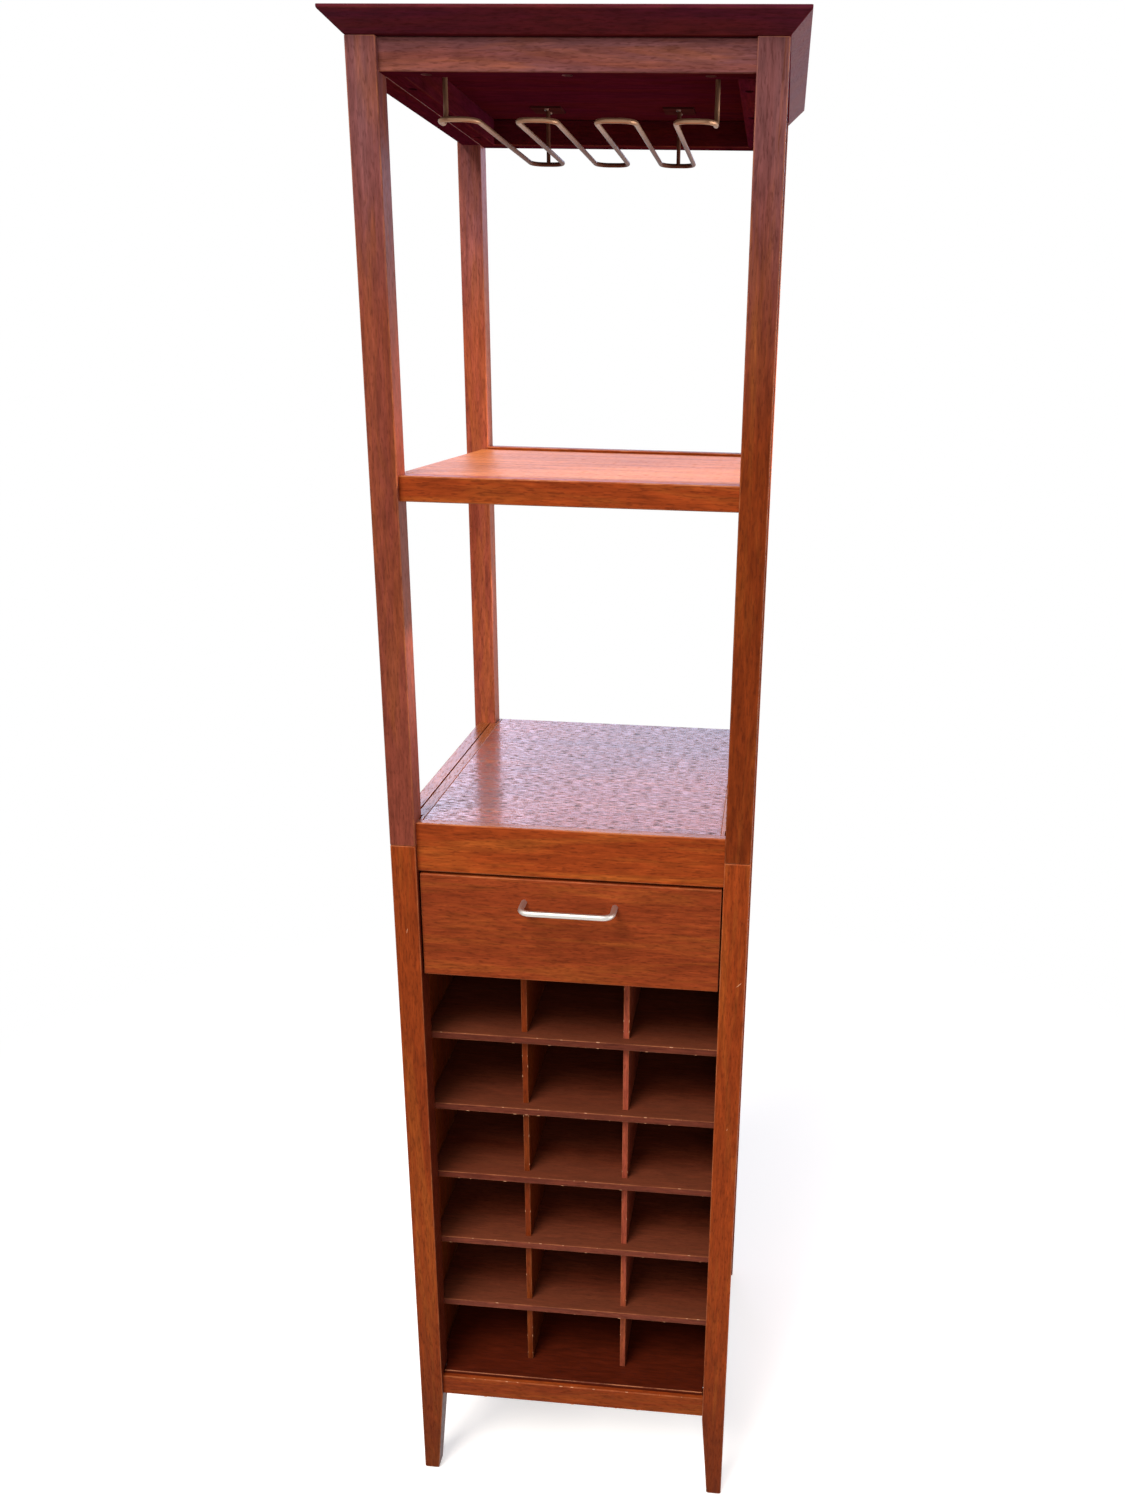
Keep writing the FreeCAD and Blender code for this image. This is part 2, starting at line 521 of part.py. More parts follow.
# Drawer: the sides are housed in the front, and the bottom runs in grooves under the back
front_y = (DRAWER_FACE, f"({DRAWER_FACE} + drawer_front_thickness)")
floor_z = (BOX_FLOOR, f"{BOX_FLOOR} + drawer_bottom_thickness")
drawer_bottom = piece(board("drawer_bottom", both_sides(f"{BOX_INSIDE} + drawer_groove"),
                            (f"{front_y[1]} - drawer_groove", DRAWER_END), floor_z))
drawer_sides = []
for side in ("left", "right"):
    stock = board(f"drawer_side_{side}_stock", across(side, BOX_INSIDE, DRAWER_SIDE),
                  (f"{front_y[1]} - drawer_housing", DRAWER_END), (BOX_BASE, BOX_TOP))
    drawer_sides.append(stock)
    piece(cut(f"drawer_side_{side}", stock, drawer_bottom))
piece(board("drawer_back", both_sides(BOX_INSIDE), (f"{DRAWER_END} - drawer_side_thickness", DRAWER_END),
            (floor_z[1], BOX_TOP)))

pull_z = f"{DRAWER_TOP} - pull_drop"
inward = FreeCAD.Vector(0, 1, 0)
pull_shanks = []
pull_screws = []
for side, x in (("left", "-pull_centres / 2"), ("right", "pull_centres / 2")):
    name = f"pull_screw_{side}"
    shank = pin(f"{name}_shank", (x, f"{DRAWER_FACE} - pull_thread", pull_z), "pull_screw",
                "pull_thread + drawer_front_thickness", inward)
    head = pin(f"{name}_head", (x, front_y[1], pull_z), "pull_screw_head", "pull_screw_head_height", inward)
    pull_shanks.append(shank)
    pull_screws.append(joined(name, shank, head))
piece(group("pull_screws", *pull_screws))
drawer_front = board("drawer_front_stock", both_sides(f"{INNER} - drawer_reveal"), front_y,
                     (DRAWER_BASE, DRAWER_TOP))
piece(cut("drawer_front", drawer_front, drawer_bottom, *drawer_sides, *pull_shanks))

bar_y = f"{DRAWER_FACE} - pull_projection"
bent_pull = doc.addObject("Part::Feature", "bent_pull")
bent_pull.Shape = bent_bar([("-pull_centres / 2", DRAWER_FACE, pull_z), ("-pull_centres / 2", bar_y, pull_z),
                           ("pull_centres / 2", bar_y, pull_z), ("pull_centres / 2", DRAWER_FACE, pull_z)],
                          "pull_bar", "pull_bend")
piece(cut("pull", bent_pull, *pull_shanks))

doc.recompute()
for made in doc.Objects:
    if "Invalid" in made.State or "Error" in made.State:
        raise RuntimeError(f"{made.Label} did not build: {made.State}")
os.makedirs("parts", exist_ok=True)
for made in pieces:
    if made.Shape.isNull() or not made.Shape.isValid():
        raise RuntimeError(f"{made.Label} has no sound shape")
    made.Shape.exportStep(f"parts/{made.Label}.step")
print(len(pieces), "pieces")
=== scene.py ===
"""Dresses the bottle cabinet: stained and lacquered wood, nickel wire and pull, wear, stage and camera.

Laid out as an add-on and run as a script. Metres, +Z up, front towards -Y.
"""

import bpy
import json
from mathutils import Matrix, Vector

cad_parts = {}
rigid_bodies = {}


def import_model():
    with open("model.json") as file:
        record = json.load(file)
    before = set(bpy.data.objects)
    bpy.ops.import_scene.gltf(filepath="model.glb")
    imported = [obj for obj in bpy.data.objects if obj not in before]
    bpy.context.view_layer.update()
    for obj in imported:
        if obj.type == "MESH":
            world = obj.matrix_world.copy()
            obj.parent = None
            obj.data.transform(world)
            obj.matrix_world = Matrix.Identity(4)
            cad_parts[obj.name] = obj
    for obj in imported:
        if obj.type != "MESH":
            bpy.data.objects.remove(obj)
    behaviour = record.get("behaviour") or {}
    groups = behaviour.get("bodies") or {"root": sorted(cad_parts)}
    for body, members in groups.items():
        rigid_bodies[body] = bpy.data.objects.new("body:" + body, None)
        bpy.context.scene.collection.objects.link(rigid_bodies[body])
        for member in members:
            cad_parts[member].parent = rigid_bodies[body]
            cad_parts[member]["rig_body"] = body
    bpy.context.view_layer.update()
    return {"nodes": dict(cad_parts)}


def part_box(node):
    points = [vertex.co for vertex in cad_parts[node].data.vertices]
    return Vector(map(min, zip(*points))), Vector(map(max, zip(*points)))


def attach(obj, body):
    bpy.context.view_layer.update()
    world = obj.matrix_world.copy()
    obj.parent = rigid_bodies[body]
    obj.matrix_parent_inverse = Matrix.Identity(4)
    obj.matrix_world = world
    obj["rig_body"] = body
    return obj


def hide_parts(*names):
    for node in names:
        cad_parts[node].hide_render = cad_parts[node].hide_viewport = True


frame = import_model()

import json
import math

import bmesh
import bpy
from bpy.props import FloatProperty, FloatVectorProperty, IntProperty, PointerProperty
from mathutils import Matrix, Vector

bl_info = {
    "name": "Bottle cabinet",
    "version": (1, 0, 0),
    "blender": (4, 5, 0),
    "location": "3D View > Sidebar > Cabinet",
    "description": "Dresses a bottle cabinet in stained wood and nickel and sets its stage and camera",
    "category": "Object",
}

MM = 0.001

# Words in the names of nodes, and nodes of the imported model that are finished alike
ENDS = ("front", "rear")
SIDES = ("left", "right")
POSTS = [f"{half}_post_{place}_{side}" for half in ("upper", "lower") for place in ENDS for side in SIDES]
GRID_SHELVES = sorted(name for name in frame["nodes"] if name.startswith("grid_shelf_"))
GRID_DIVIDERS = sorted(name for name in frame["nodes"] if name.startswith("grid_divider_"))

# Limits that tell points, faces and edges apart
TOUCH = 0.001 * MM        # points nearer than this are one point
FLAT = math.radians(0.5)  # faces that turn less than this are one face
SHARP = math.radians(20)  # edges that turn more than this are arrises

# Places of the inputs of a colour mix, and of the limits of a random number
SHARE, FIRST, SECOND = 0, 6, 7
LEAST, MOST = 2, 3


def linear(text):
    """Linear red, green and blue of an sRGB hex colour."""
    shares = [int(text[at:at + 2], 16) / 255 for at in (0, 2, 4)]
    return [share / 12.92 if share <= 0.04045 else ((share + 0.055) / 1.055) ** 2.4 for share in shares]


def colour(label, text, meaning):
    """A colour setting with its default written as sRGB hex."""
    return FloatVectorProperty(name=label, description=meaning, subtype="COLOR", size=3, min=0, max=1,
                               default=linear(text))


def length(label, value, meaning):
    """A length setting, in metres."""
    return FloatProperty(name=label, description=meaning, subtype="DISTANCE", unit="LENGTH", default=value,
                         min=0, precision=5)


def power(label, value, meaning):
    """A power setting of a lamp, in watts."""
    return FloatProperty(name=label, description=meaning, unit="POWER", default=value, min=0)


def angle(label, degrees, meaning):
    """An angle setting, with its default in degrees."""
    return FloatProperty(name=label, description=meaning, subtype="ANGLE", default=math.radians(degrees))


# Settings
class WoodSettings(bpy.types.PropertyGroup):
    """Colours and edges of the wood."""
    stain: colour("Stain", "964019", "Red-brown stain of most of the wood")
    # a duller colour that the wood turns to from 1.3 m up, and on some whole boards
    stain_high: colour("Stain at the top", "8A5758", "The same stain where it has gone duller, under the top")
    # the middle shelf's colour is its stain made paler and warmer, as painted light of the sun on it
    stain_warm_sunlit: colour("Warm stain", "C67848", "Orange-brown stain of the middle shelf")
    stain_lip: colour("Lip stain", "A4603C", "Thinner stain on top of the deck's rails and lippings")
    # the dark maroon is painted shade, that of the bevel and of the undersides of the top and its strips
    stain_dark_shade: colour("Dark stain", "54162A", "Maroon stain of the top and of the strips under it")
    # the inner colour is a darker stain, and painted shade of the insides of the grid
    stain_low_shaded: colour("Inner stain", "5C200F", "Darker stain of the bottom panel, the back and inner faces")
    stain_grid: colour("Grid stain", "763622", "Stain of the grid shelves, dulled by dust")
    # the dark front edges of the grid shelves are stain, darkened further as painted shade
    stain_edge_shaded: colour("Edge stain", "944A36", "Stain that soaked into the front edges of the grid shelves")
    # the pale front of the grid shelves is dust, and painted light where light falls into the cells
    dust: colour("Dust", "B46C4C", "Dust on the front of the grid shelves")
    figure: colour("Figure", "B26428", "Golden early wood that shines through the stain")
    band: colour("Dark bands", "6A2410", "Late wood that took more of the stain")
    pore: colour("Pores", "38100A", "Open pores filled with stain")
    # the pale arris colour stands for wear, and on the rails of the shelf and deck also for a painted
    # highlight
    worn_and_highlit: colour("Worn arris", "C67C52", "Edges where the stain has been rubbed thin")
    bare: colour("Bare wood", "E6B48A", "Wood that shows in nicks and scratches")
    plain: colour("Plain wood", "A0703F", "Drawer box, its guides and its stops, hardly stained")
    arris: length("Arris", 1.2 * MM, "Rounding along the edges of posts, rails and the drawer front")
    thin_arris: length("Thin arris", 0.8 * MM, "Rounding along the edges of panels and the grid")


class NickelSettings(bpy.types.PropertyGroup):
    """Colours and roundness of the metal."""
    satin: colour("Satin nickel", "D2CEC8", "Plate of the pull")
    dull: colour("Dull nickel", "AE876A", "Plate of the rack, dulled by handling")
    aged: colour("Aged plate", "4A2224", "Ceiling plates of the rack, browned with age")
    # the brown film is tarnish, and towards the rear of the rack also painted shade
    tarnish_and_shade: colour("Tarnish", "6A4436", "Brown film in the dulled plate")
    zinc: colour("Zinc", "6A5248", "Plate of the screws, browned with age")
    sides: IntProperty(name="Sides", description="Flats round a bent bar", default=24, min=6)
    bend_steps: IntProperty(name="Bend steps", description="Lengths that make up a bend", default=8, min=2)


class WearSettings(bpy.types.PropertyGroup):
    """Nicks along edges and scratches on faces."""
    spacing: length("Spacing", 14 * MM, "Distance between the places where a nick may be")
    share: FloatProperty(name="Share", description="Share of those places that have a nick", default=0.3,
                         min=0, max=1, subtype="FACTOR")
    nick: length("Nick", 2.4 * MM, "Half the length of a common nick")
    scratch: length("Scratch", 0.8 * MM, "Width of a scratch at its middle")
    seed: IntProperty(name="Seed", description="Start of the random numbers", default=4)


class StageSettings(bpy.types.PropertyGroup):
    """Floor, lamps and camera."""
    floor: colour("Floor", "F4F3F1", "Pale floor")
    bounce: colour("Floor bounce", "8C8580", "Light that the floor throws back on the object")
    ambient: FloatProperty(name="Ambient", description="Light from all round", default=0.28, min=0)
    key: power("Key lamp", 400, "Power of the lamp at the front left")
    front_card: power("Front card", 36, "Power of the card above the camera and behind it")
    fill: power("Fill lamp", 95, "Power of the lamp at the right")
    cool_card: power("Cool card", 60, "Power of the high card behind")
    left_card: power("Left card", 17, "Power of the small card behind at the left")
    shelf_lamp: power("Shelf lamp", 390, "Power of the spot beside the shelf")
    eye: FloatVectorProperty(name="Eye", description="Place of the camera", subtype="TRANSLATION",
                             unit="LENGTH", default=(0.2045, -1.3947, 1.4101), precision=4)
    pitch: angle("Pitch", 19.014, "Camera turned down from the level")
    yaw: angle("Yaw", 4.582, "Camera turned to the left")
    roll: angle("Roll", -1.367, "Camera turned clockwise about its own axis")
    focal: FloatProperty(name="Focal length", description="In millimetres on a 36 mm frame", default=28.95)
    shift_x: FloatProperty(name="Shift X", description="Share of the long side", default=-0.0716)
    shift_y: FloatProperty(name="Shift Y", description="Share of the long side", default=0.0175)


# Materials
def node(tree, kind, inputs=None, **settings):
    """Adds a node with its settings, and sets its inputs, by name or place, or links them.

    An input is linked to a socket, or to the first output that a node has in use.
    """
    made = tree.nodes.new(kind)
    for name, value in settings.items():
        setattr(made, name, value)
    for key, value in (inputs or {}).items():
        if isinstance(value, bpy.types.Node):
            value = next(output for output in value.outputs if output.enabled)
        if isinstance(value, bpy.types.NodeSocket):
            tree.links.new(value, made.inputs[key])
        else:
            made.inputs[key].default_value = value
    return made


def opaque(value):
    """A colour setting as the four numbers that a socket takes."""
    return (*value, 1.0)


def new_material(name):
    """A new material and its empty tree."""
    made = bpy.data.materials.new(name)
    made.use_nodes = True
    made.node_tree.nodes.clear()
    return made, made.node_tree


def pattern(tree, place, width, reads, gives, **noise):
    """Soft noise with spots of a given width, and a range of it spread over another range."""
    cloud = node(tree, "ShaderNodeTexNoise", {"Vector": place, "Scale": 1 / width, **noise})
    return node(tree, "ShaderNodeMapRange", {"Value": cloud, "From Min": reads[0], "From Max": reads[1],
                                             "To Min": gives[0], "To Max": gives[1]})


def stained_wood(name, grain, stain=None, roughness=0.38, specular=0.06, figure=0.5, pore=(1.4, 6),
                 pore_start=0.55, pore_share=0.33, pore_relief=0.1, coat=0.0, dust=0.0):
    """Stained and lacquered beech: soft dark bands and fine pores along the grain, edges rubbed pale, some
    with a painted highlight.

    The eye sees a red-brown board that is a little duller towards the top, with a soft lacquer gloss and
    golden figure under it. The grain is the axis that it runs along, and the stain the name of a setting.
    A pore is given by its width in millimetres and its length in widths, and the start says how few of them
    there are. The dust is the share of pale dust and painted light at the front of the grid.
    """
    if name in bpy.data.materials:
        return bpy.data.materials[name]
    wood = bpy.context.scene.cabinet_wood
    made, tree = new_material(name)
    place = node(tree, "ShaderNodeTexCoord").outputs["Object"]
    spot = node(tree, "ShaderNodeSeparateXYZ", {"Vector": place}).outputs
    marks = node(tree, "ShaderNodeAttribute", attribute_name="board", attribute_type="GEOMETRY").outputs
    own = node(tree, "ShaderNodeSeparateColor", {"Color": marks["Color"]}).outputs
    # each board is cut from another place in the tree
    cut = node(tree, "ShaderNodeVectorMath", {0: (0.83, 1.31, 0.57), "Scale": own["Green"]},
               operation="SCALE")
    board = node(tree, "ShaderNodeVectorMath", {0: place, 1: cut}, operation="ADD")
    # bands, pores and curls are drawn out along the grain
    drawn = []
    for times in (12, pore[1], 6):
        stretch = [1.0, 1.0, 1.0]
        stretch[grain] = 1 / times
        drawn.append(node(tree, "ShaderNodeMapping", {"Vector": board, "Scale": stretch}))
    along, pored, curled = drawn
    # bands of late wood, about 32 mm apart
    bands = pattern(tree, along, 32 * MM, (0.42, 0.74), (0.0, 0.55), Detail=4.0, Roughness=0.6,
                    Distortion=0.6)
    # golden figure in patches about 22 mm wide
    golden = pattern(tree, along, 22 * MM, (0.48, 0.72), (0.0, figure), Detail=5.0, Roughness=0.65,
                     Distortion=1.2)
    # pores are 0.3 mm wide and are drawn as wide as they need to be to show
    pores = pattern(tree, pored, pore[0] * MM, (pore_start, pore_start + 0.12), (0.0, pore_share), Detail=1.0)
    # a curl in the fibres makes pale and dark spots about 5 mm wide
    curl = pattern(tree, curled, 5 * MM, (0.3, 0.7), (0.82, 1.18), Detail=3.0)
    # fibres are finer than the render shows, so they are drawn 2.2 mm wide
    fibres = node(tree, "ShaderNodeTexNoise", {"Vector": along, "Scale": 1 / (2.2 * MM), "Detail": 3.0,
                                               "Roughness": 0.7})
    # arrises are pale in patches about 30 mm long, from wear, and on the rails of the shelf and deck also as
    # a painted highlight
    rubbed = pattern(tree, board, 30 * MM, (0.4, 0.66), (0.12, 0.85), Detail=5.0, Roughness=0.7)
    rubbed = node(tree, "ShaderNodeMath", {0: rubbed, 1: own["Red"]}, operation="MULTIPLY")
    # the colour darkens over the lowest 0.4 m
    dirt = node(tree, "ShaderNodeMapRange", {"Value": spot["Z"], "From Max": 0.4, "To Min": 0.58},
                interpolation_type="SMOOTHSTEP")
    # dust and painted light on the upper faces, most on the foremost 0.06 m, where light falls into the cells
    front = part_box("grid_shelf_1")[0].y
    film = node(tree, "ShaderNodeMapRange", {"Value": spot["Y"], "From Min": front, "From Max": front + 0.06,
                                             "To Min": dust, "To Max": 0.0})
    facing = node(tree, "ShaderNodeNewGeometry").outputs["Normal"]
    facing = node(tree, "ShaderNodeSeparateXYZ", {"Vector": facing}).outputs["Z"]
    film = node(tree, "ShaderNodeMath", {0: film, 1: facing}, operation="MULTIPLY", use_clamp=True)
    # the colour turns duller towards the top, and on some boards all over
    height = node(tree, "ShaderNodeMapRange", {"Value": spot["Z"], "From Min": 1.3, "From Max": 1.65},
                  interpolation_type="SMOOTHSTEP")
    dulled = node(tree, "ShaderNodeMath", {0: height, 1: marks["Alpha"]}, operation="MAXIMUM")
    fresh, duller = (opaque(getattr(wood, stain or usual)) for usual in ("stain", "stain_high"))
    shade = node(tree, "ShaderNodeMix", {SHARE: dulled, FIRST: fresh, SECOND: duller}, data_type="RGBA")
    for share, tint in ((golden, wood.figure), (bands, wood.band)):
        shade = node(tree, "ShaderNodeMix", {SHARE: share, FIRST: shade, SECOND: opaque(tint)},
                     data_type="RGBA")
    # streaks are paler and darker than the board, which has a tone of its own
    streak = node(tree, "ShaderNodeMapRange", {"Value": fibres, "From Min": 0.25, "From Max": 0.75,
                                               "To Min": 0.69, "To Max": 1.26})
    for share in (own["Blue"], curl, dirt):
        streak = node(tree, "ShaderNodeMath", {0: streak, 1: share}, operation="MULTIPLY")
    shade = node(tree, "ShaderNodeVectorMath", {0: shade, "Scale": streak}, operation="SCALE")
    for share, tint in ((pores, wood.pore), (film, wood.dust), (rubbed, wood.worn_and_highlit)):
        shade = node(tree, "ShaderNodeMix", {SHARE: share, FIRST: shade, SECOND: opaque(tint)},
                     data_type="RGBA")
    # lacquer bridges the fibres and sinks into the pores, which stay dull
    gloss = node(tree, "ShaderNodeMapRange", {"Value": fibres, "To Min": roughness - 0.05,
                                              "To Max": roughness + 0.07})
    gloss = node(tree, "ShaderNodeMath", {0: pores, 1: 0.6, 2: gloss}, operation="MULTIPLY_ADD")
    sunk = node(tree, "ShaderNodeMath", {0: pores, 1: -1.0, 2: 1.0}, operation="MULTIPLY_ADD")
    relief = node(tree, "ShaderNodeBump", {"Height": sunk, "Strength": pore_relief, "Distance": 0.3 * MM})
    shader = node(tree, "ShaderNodeBsdfPrincipled", {
        "Base Color": shade, "Roughness": gloss, "Specular IOR Level": specular, "Normal": relief,
        "Coat Weight": coat, "Coat Roughness": 0.5, "Coat Normal": relief})
    node(tree, "ShaderNodeOutputMaterial", {"Surface": shader})
    return made


def nickel(name, plate, roughness, film, metallic=1.0, rear=0.0):
    """Nickel plate, satin from fine polishing: a soft bright sheen, with a brown film where it has dulled.

    The share that is still metallic goes down towards the rear with the painted shade, and the sheen goes
    with it. The rear is the share that the film gains towards the rear of the rack, as painted shade.
    """
    if name in bpy.data.materials:
        return bpy.data.materials[name]
    tarnish_and_shade = opaque(bpy.context.scene.cabinet_nickel.tarnish_and_shade)
    made, tree = new_material(name)
    place = node(tree, "ShaderNodeTexCoord").outputs["Object"]
    # the film lies in patches about 18 mm wide
    patches = pattern(tree, place, 18 * MM, (0.4, 0.75), (0.0, film), Detail=4.0, Roughness=0.65)
    # painted shade: the rack darkens towards its rear, fully from its middle on
    low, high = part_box("rack_wire")
    rearwards = node(tree, "ShaderNodeSeparateXYZ", {"Vector": place}).outputs["Y"]
    browned = node(tree, "ShaderNodeMapRange", {"Value": rearwards, "From Min": low.y,
                                                "From Max": (low.y + high.y) / 2})
    patches = node(tree, "ShaderNodeMath", {0: browned, 1: rear, 2: patches}, operation="MULTIPLY_ADD",
                   use_clamp=True)
    shade = node(tree, "ShaderNodeMix", {SHARE: patches, FIRST: opaque(plate), SECOND: tarnish_and_shade},
                 data_type="RGBA")
    # polishing marks are drawn 1.2 mm wide to show
    polish = node(tree, "ShaderNodeTexNoise", {"Vector": place, "Scale": 1 / (1.2 * MM), "Detail": 2.0})
    rough = node(tree, "ShaderNodeMapRange", {"Value": polish, "To Min": roughness - 0.06,
                                              "To Max": roughness + 0.06})
    relief = node(tree, "ShaderNodeBump", {"Height": polish, "Strength": 0.05, "Distance": 0.1 * MM})
    left = metallic * (1 - rear)
    bright = node(tree, "ShaderNodeMapRange", {"Value": browned, "To Min": metallic, "To Max": left})
    shader = node(tree, "ShaderNodeBsdfPrincipled", {
        "Base Color": shade, "Metallic": bright, "Roughness": rough, "Specular IOR Level": 0.5 * left,
        "Normal": relief})
    node(tree, "ShaderNodeOutputMaterial", {"Surface": shader})
    return made


def bare_wood(name):
    """Bare beech in a nick: pale and dry, with dirt in the fibres."""
    if name in bpy.data.materials:
        return bpy.data.materials[name]
    wood = bpy.context.scene.cabinet_wood
    made, tree = new_material(name)
    place = node(tree, "ShaderNodeTexCoord").outputs["Object"]
    # dirt lies in specks about 2 mm wide
    specks = node(tree, "ShaderNodeTexNoise", {"Vector": place, "Scale": 1 / (2 * MM), "Detail": 2.0})
    dirty = node(tree, "ShaderNodeMix", {SHARE: specks, FIRST: opaque(wood.bare), SECOND: opaque(wood.worn_and_highlit)},
                 data_type="RGBA")
    shader = node(tree, "ShaderNodeBsdfPrincipled", {"Base Color": dirty, "Roughness": 0.6})
    node(tree, "ShaderNodeOutputMaterial", {"Surface": shader})
    return made


# Meshes
def merged(name):
    """A node's mesh with its triangles joined into whole faces."""
    shape = bmesh.new()
    shape.from_mesh(frame["nodes"][name].data)
    bmesh.ops.remove_doubles(shape, verts=shape.verts, dist=TOUCH)
    bmesh.ops.dissolve_limit(shape, angle_limit=FLAT, verts=shape.verts, edges=shape.edges)
    shape.normal_update()
    return shape


def is_outer(face, verts):
    """True for a face with the whole board behind it, so not one of a joint or a hole."""
    start = face.verts[0].co
    play = 0.01 * MM
    return all((vert.co - start).dot(face.normal) < play for vert in verts)


def keep_mesh(name, shape):
    """Links a finished mesh as an object at the origin."""
    mesh = bpy.data.meshes.new(name)
    shape.to_mesh(mesh)
    shape.free()
    made = bpy.data.objects.new(name, mesh)
    bpy.context.scene.collection.objects.link(made)
    return made


def settle(piece, material, *nodes):
    """Gives a piece its material and body, and hides the nodes that it stands in for."""
    if not piece.data.materials:
        piece.data.materials.append(material)
    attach(piece, frame["nodes"][nodes[0]]["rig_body"])
    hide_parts(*nodes)
    return piece


def dress(name, material, arris, tone=1.0, rub=0.5, dull=0.0, other=None, facing=(0, 0, -1)):
    """Replaces a node by the same board with its outer arrises rounded and marked for wear.

    The tone makes the board darker or paler, in places as painted light or shade, the rub says how pale its
    arrises are, by wear and on some rails by a painted highlight, and dull how much of it takes the duller
    colour. The faces that look one way, as the underside, may have another finish, in places painted shade.
    """
    nearly_facing = 0.8
    shape = merged(name)
    outer = {face for face in shape.faces if is_outer(face, shape.verts)}
    ways = [face.normal.copy() for face in outer]
    arrises = [edge for edge in shape.edges if len(edge.link_faces) == 2
               and edge.calc_face_angle_signed() > SHARP
               and all(face in outer for face in edge.link_faces)]
    made = bmesh.ops.bevel(shape, geom=arrises, offset=arris, offset_type="OFFSET", segments=3, profile=0.5,
                           affect="EDGES", clamp_overlap=True)
    # the operator also lists flat faces that it has cut back
    same_way = 0.9999
    rounded = {face for face in made["faces"] if all(face.normal.dot(way) < same_way for way in ways)}
    marks = shape.loops.layers.float_color.new("board")
    # steps of the golden section keep the boards' own numbers apart
    own = sorted(frame["nodes"]).index(name) * 0.618 % 1
    for face in shape.faces:
        face.smooth = face in rounded
        for corner in face.loops:
            corner[marks] = (rub if face.smooth else 0.0, own, tone, dull)
        if other and face.normal.dot(Vector(facing)) > nearly_facing:
            face.material_index = 1
    piece = settle(keep_mesh(f"{name}_board", shape), material, name)
    if other:
        piece.data.materials.append(other)
    return piece


def upright():
    """Wood with the grain running up."""
    return stained_wood("stained_beech_upright", 2)


def crosswise():
    """Wood with the grain running from left to right."""
    return stained_wood("stained_beech_crosswise", 0)


def depthwise():
    """Wood with the grain running from front to rear."""
    return stained_wood("stained_beech_depthwise", 1)


def dark_wood():
    """Wood of the top, in a dark maroon that paints the shade on its bevel."""
    return stained_wood("dark_beech", 0, "stain_dark_shade", roughness=0.42, figure=0.0)


def shaded_under_top(grain):
    """Wood under the top, in the dark maroon as painted shade, and without lacquer."""
    return stained_wood(f"unlacquered_beech_{'XYZ'[grain]}", grain, "stain_dark_shade", roughness=0.5, specular=0.0,
                        figure=0.0)


def inner_wood(grain):
    """Wood at the bottom and the back of the grid, in a deep stain that also paints the shade inside the
    grid.
    """
    return stained_wood(f"deep_stained_beech_{'XYZ'[grain]}", grain, "stain_low_shaded", roughness=0.36,
                        specular=0.14, figure=0.0)


def grid_wood():
    """Wood of the grid shelves, dulled by dust, and paler at the front with dust and painted light."""
    return stained_wood("dusty_beech", 0, "stain_grid", roughness=0.6, specular=0.08, figure=0.06, dust=0.15)


def edge_wood():
    """Front edges of the grid shelves, in a dark stain that also paints the shade on them."""
    return stained_wood("soaked_beech_edge", 0, "stain_edge_shaded", roughness=0.4, specular=0.1, figure=0.0)


def polished(grain):
    """Upper faces of the deck's rails and lippings, which lie in the same gloss as the deck."""
    return stained_wood(f"polished_beech_{'XYZ'[grain]}", grain, "stain_lip", roughness=0.24, specular=0.3)


def open_pored():
    """Veneer of the deck, lacquered to a gloss that its open pores break into short dark lines."""
    return stained_wood("open_pored_veneer", 0, roughness=0.16, specular=0.7, pore=(1.1, 11), pore_start=0.5,
                        pore_share=1.0, pore_relief=0.3, coat=0.6)


def shelf_veneer():
    """Veneer of the middle shelf, in a paler, warmer colour that paints part of the glow of sunlight on it.
    """
    return stained_wood("shelf_veneer", 0, "stain_warm_sunlit", roughness=0.4, specular=0.05)


def plain_wood(grain):
    """Wood of the drawer box and what guides it, with hardly any stain."""
    return stained_wood(f"plain_beech_{'XYZ'[grain]}", grain, "plain", roughness=0.55, specular=0.2)


def new_tree(name, **kinds):
    """A new geometry tree with inputs of these kinds after its geometry, and the sockets that give them."""
    tree = bpy.data.node_groups.new(name, "GeometryNodeTree")
    tree.interface.new_socket("Geometry", in_out="INPUT", socket_type="NodeSocketGeometry")
    for label, kind in kinds.items():
        tree.interface.new_socket(label, in_out="INPUT", socket_type=f"NodeSocket{kind}")
    tree.interface.new_socket("Geometry", in_out="OUTPUT", socket_type="NodeSocketGeometry")
    return tree, node(tree, "NodeGroupInput").outputs


def finish_tree(tree, geometry, material):
    """Ends a geometry tree with real geometry in its material."""
    real = node(tree, "GeometryNodeRealizeInstances", {"Geometry": geometry})
    dressed = node(tree, "GeometryNodeSetMaterial", {"Geometry": real, "Material": material})
    node(tree, "NodeGroupOutput", {"Geometry": dressed})
    return tree


def grown(name, points, edges, tree, **values):
    """Runs a geometry tree on points and edges and keeps what it makes as a plain mesh."""
    mesh = bpy.data.meshes.new(f"{name}_path")
    mesh.from_pydata(points, edges, [])
    made = bpy.data.objects.new(name, mesh)
    bpy.context.scene.collection.objects.link(made)
    modifier = made.modifiers.new("Nodes", "NODES")
    modifier.node_group = tree
    for item in tree.interface.items_tree:
        if item.in_out == "INPUT" and item.name in values:
            modifier[item.identifier] = values[item.name]
    made.update_tag()
    drawn = made.evaluated_get(bpy.context.evaluated_depsgraph_get())
    plain = bpy.data.meshes.new_from_object(drawn)
    made.modifiers.remove(modifier)
    made.data = plain
    bpy.data.meshes.remove(mesh)
    if not plain.polygons:
        raise RuntimeError(f"{name} came out empty")
    return made


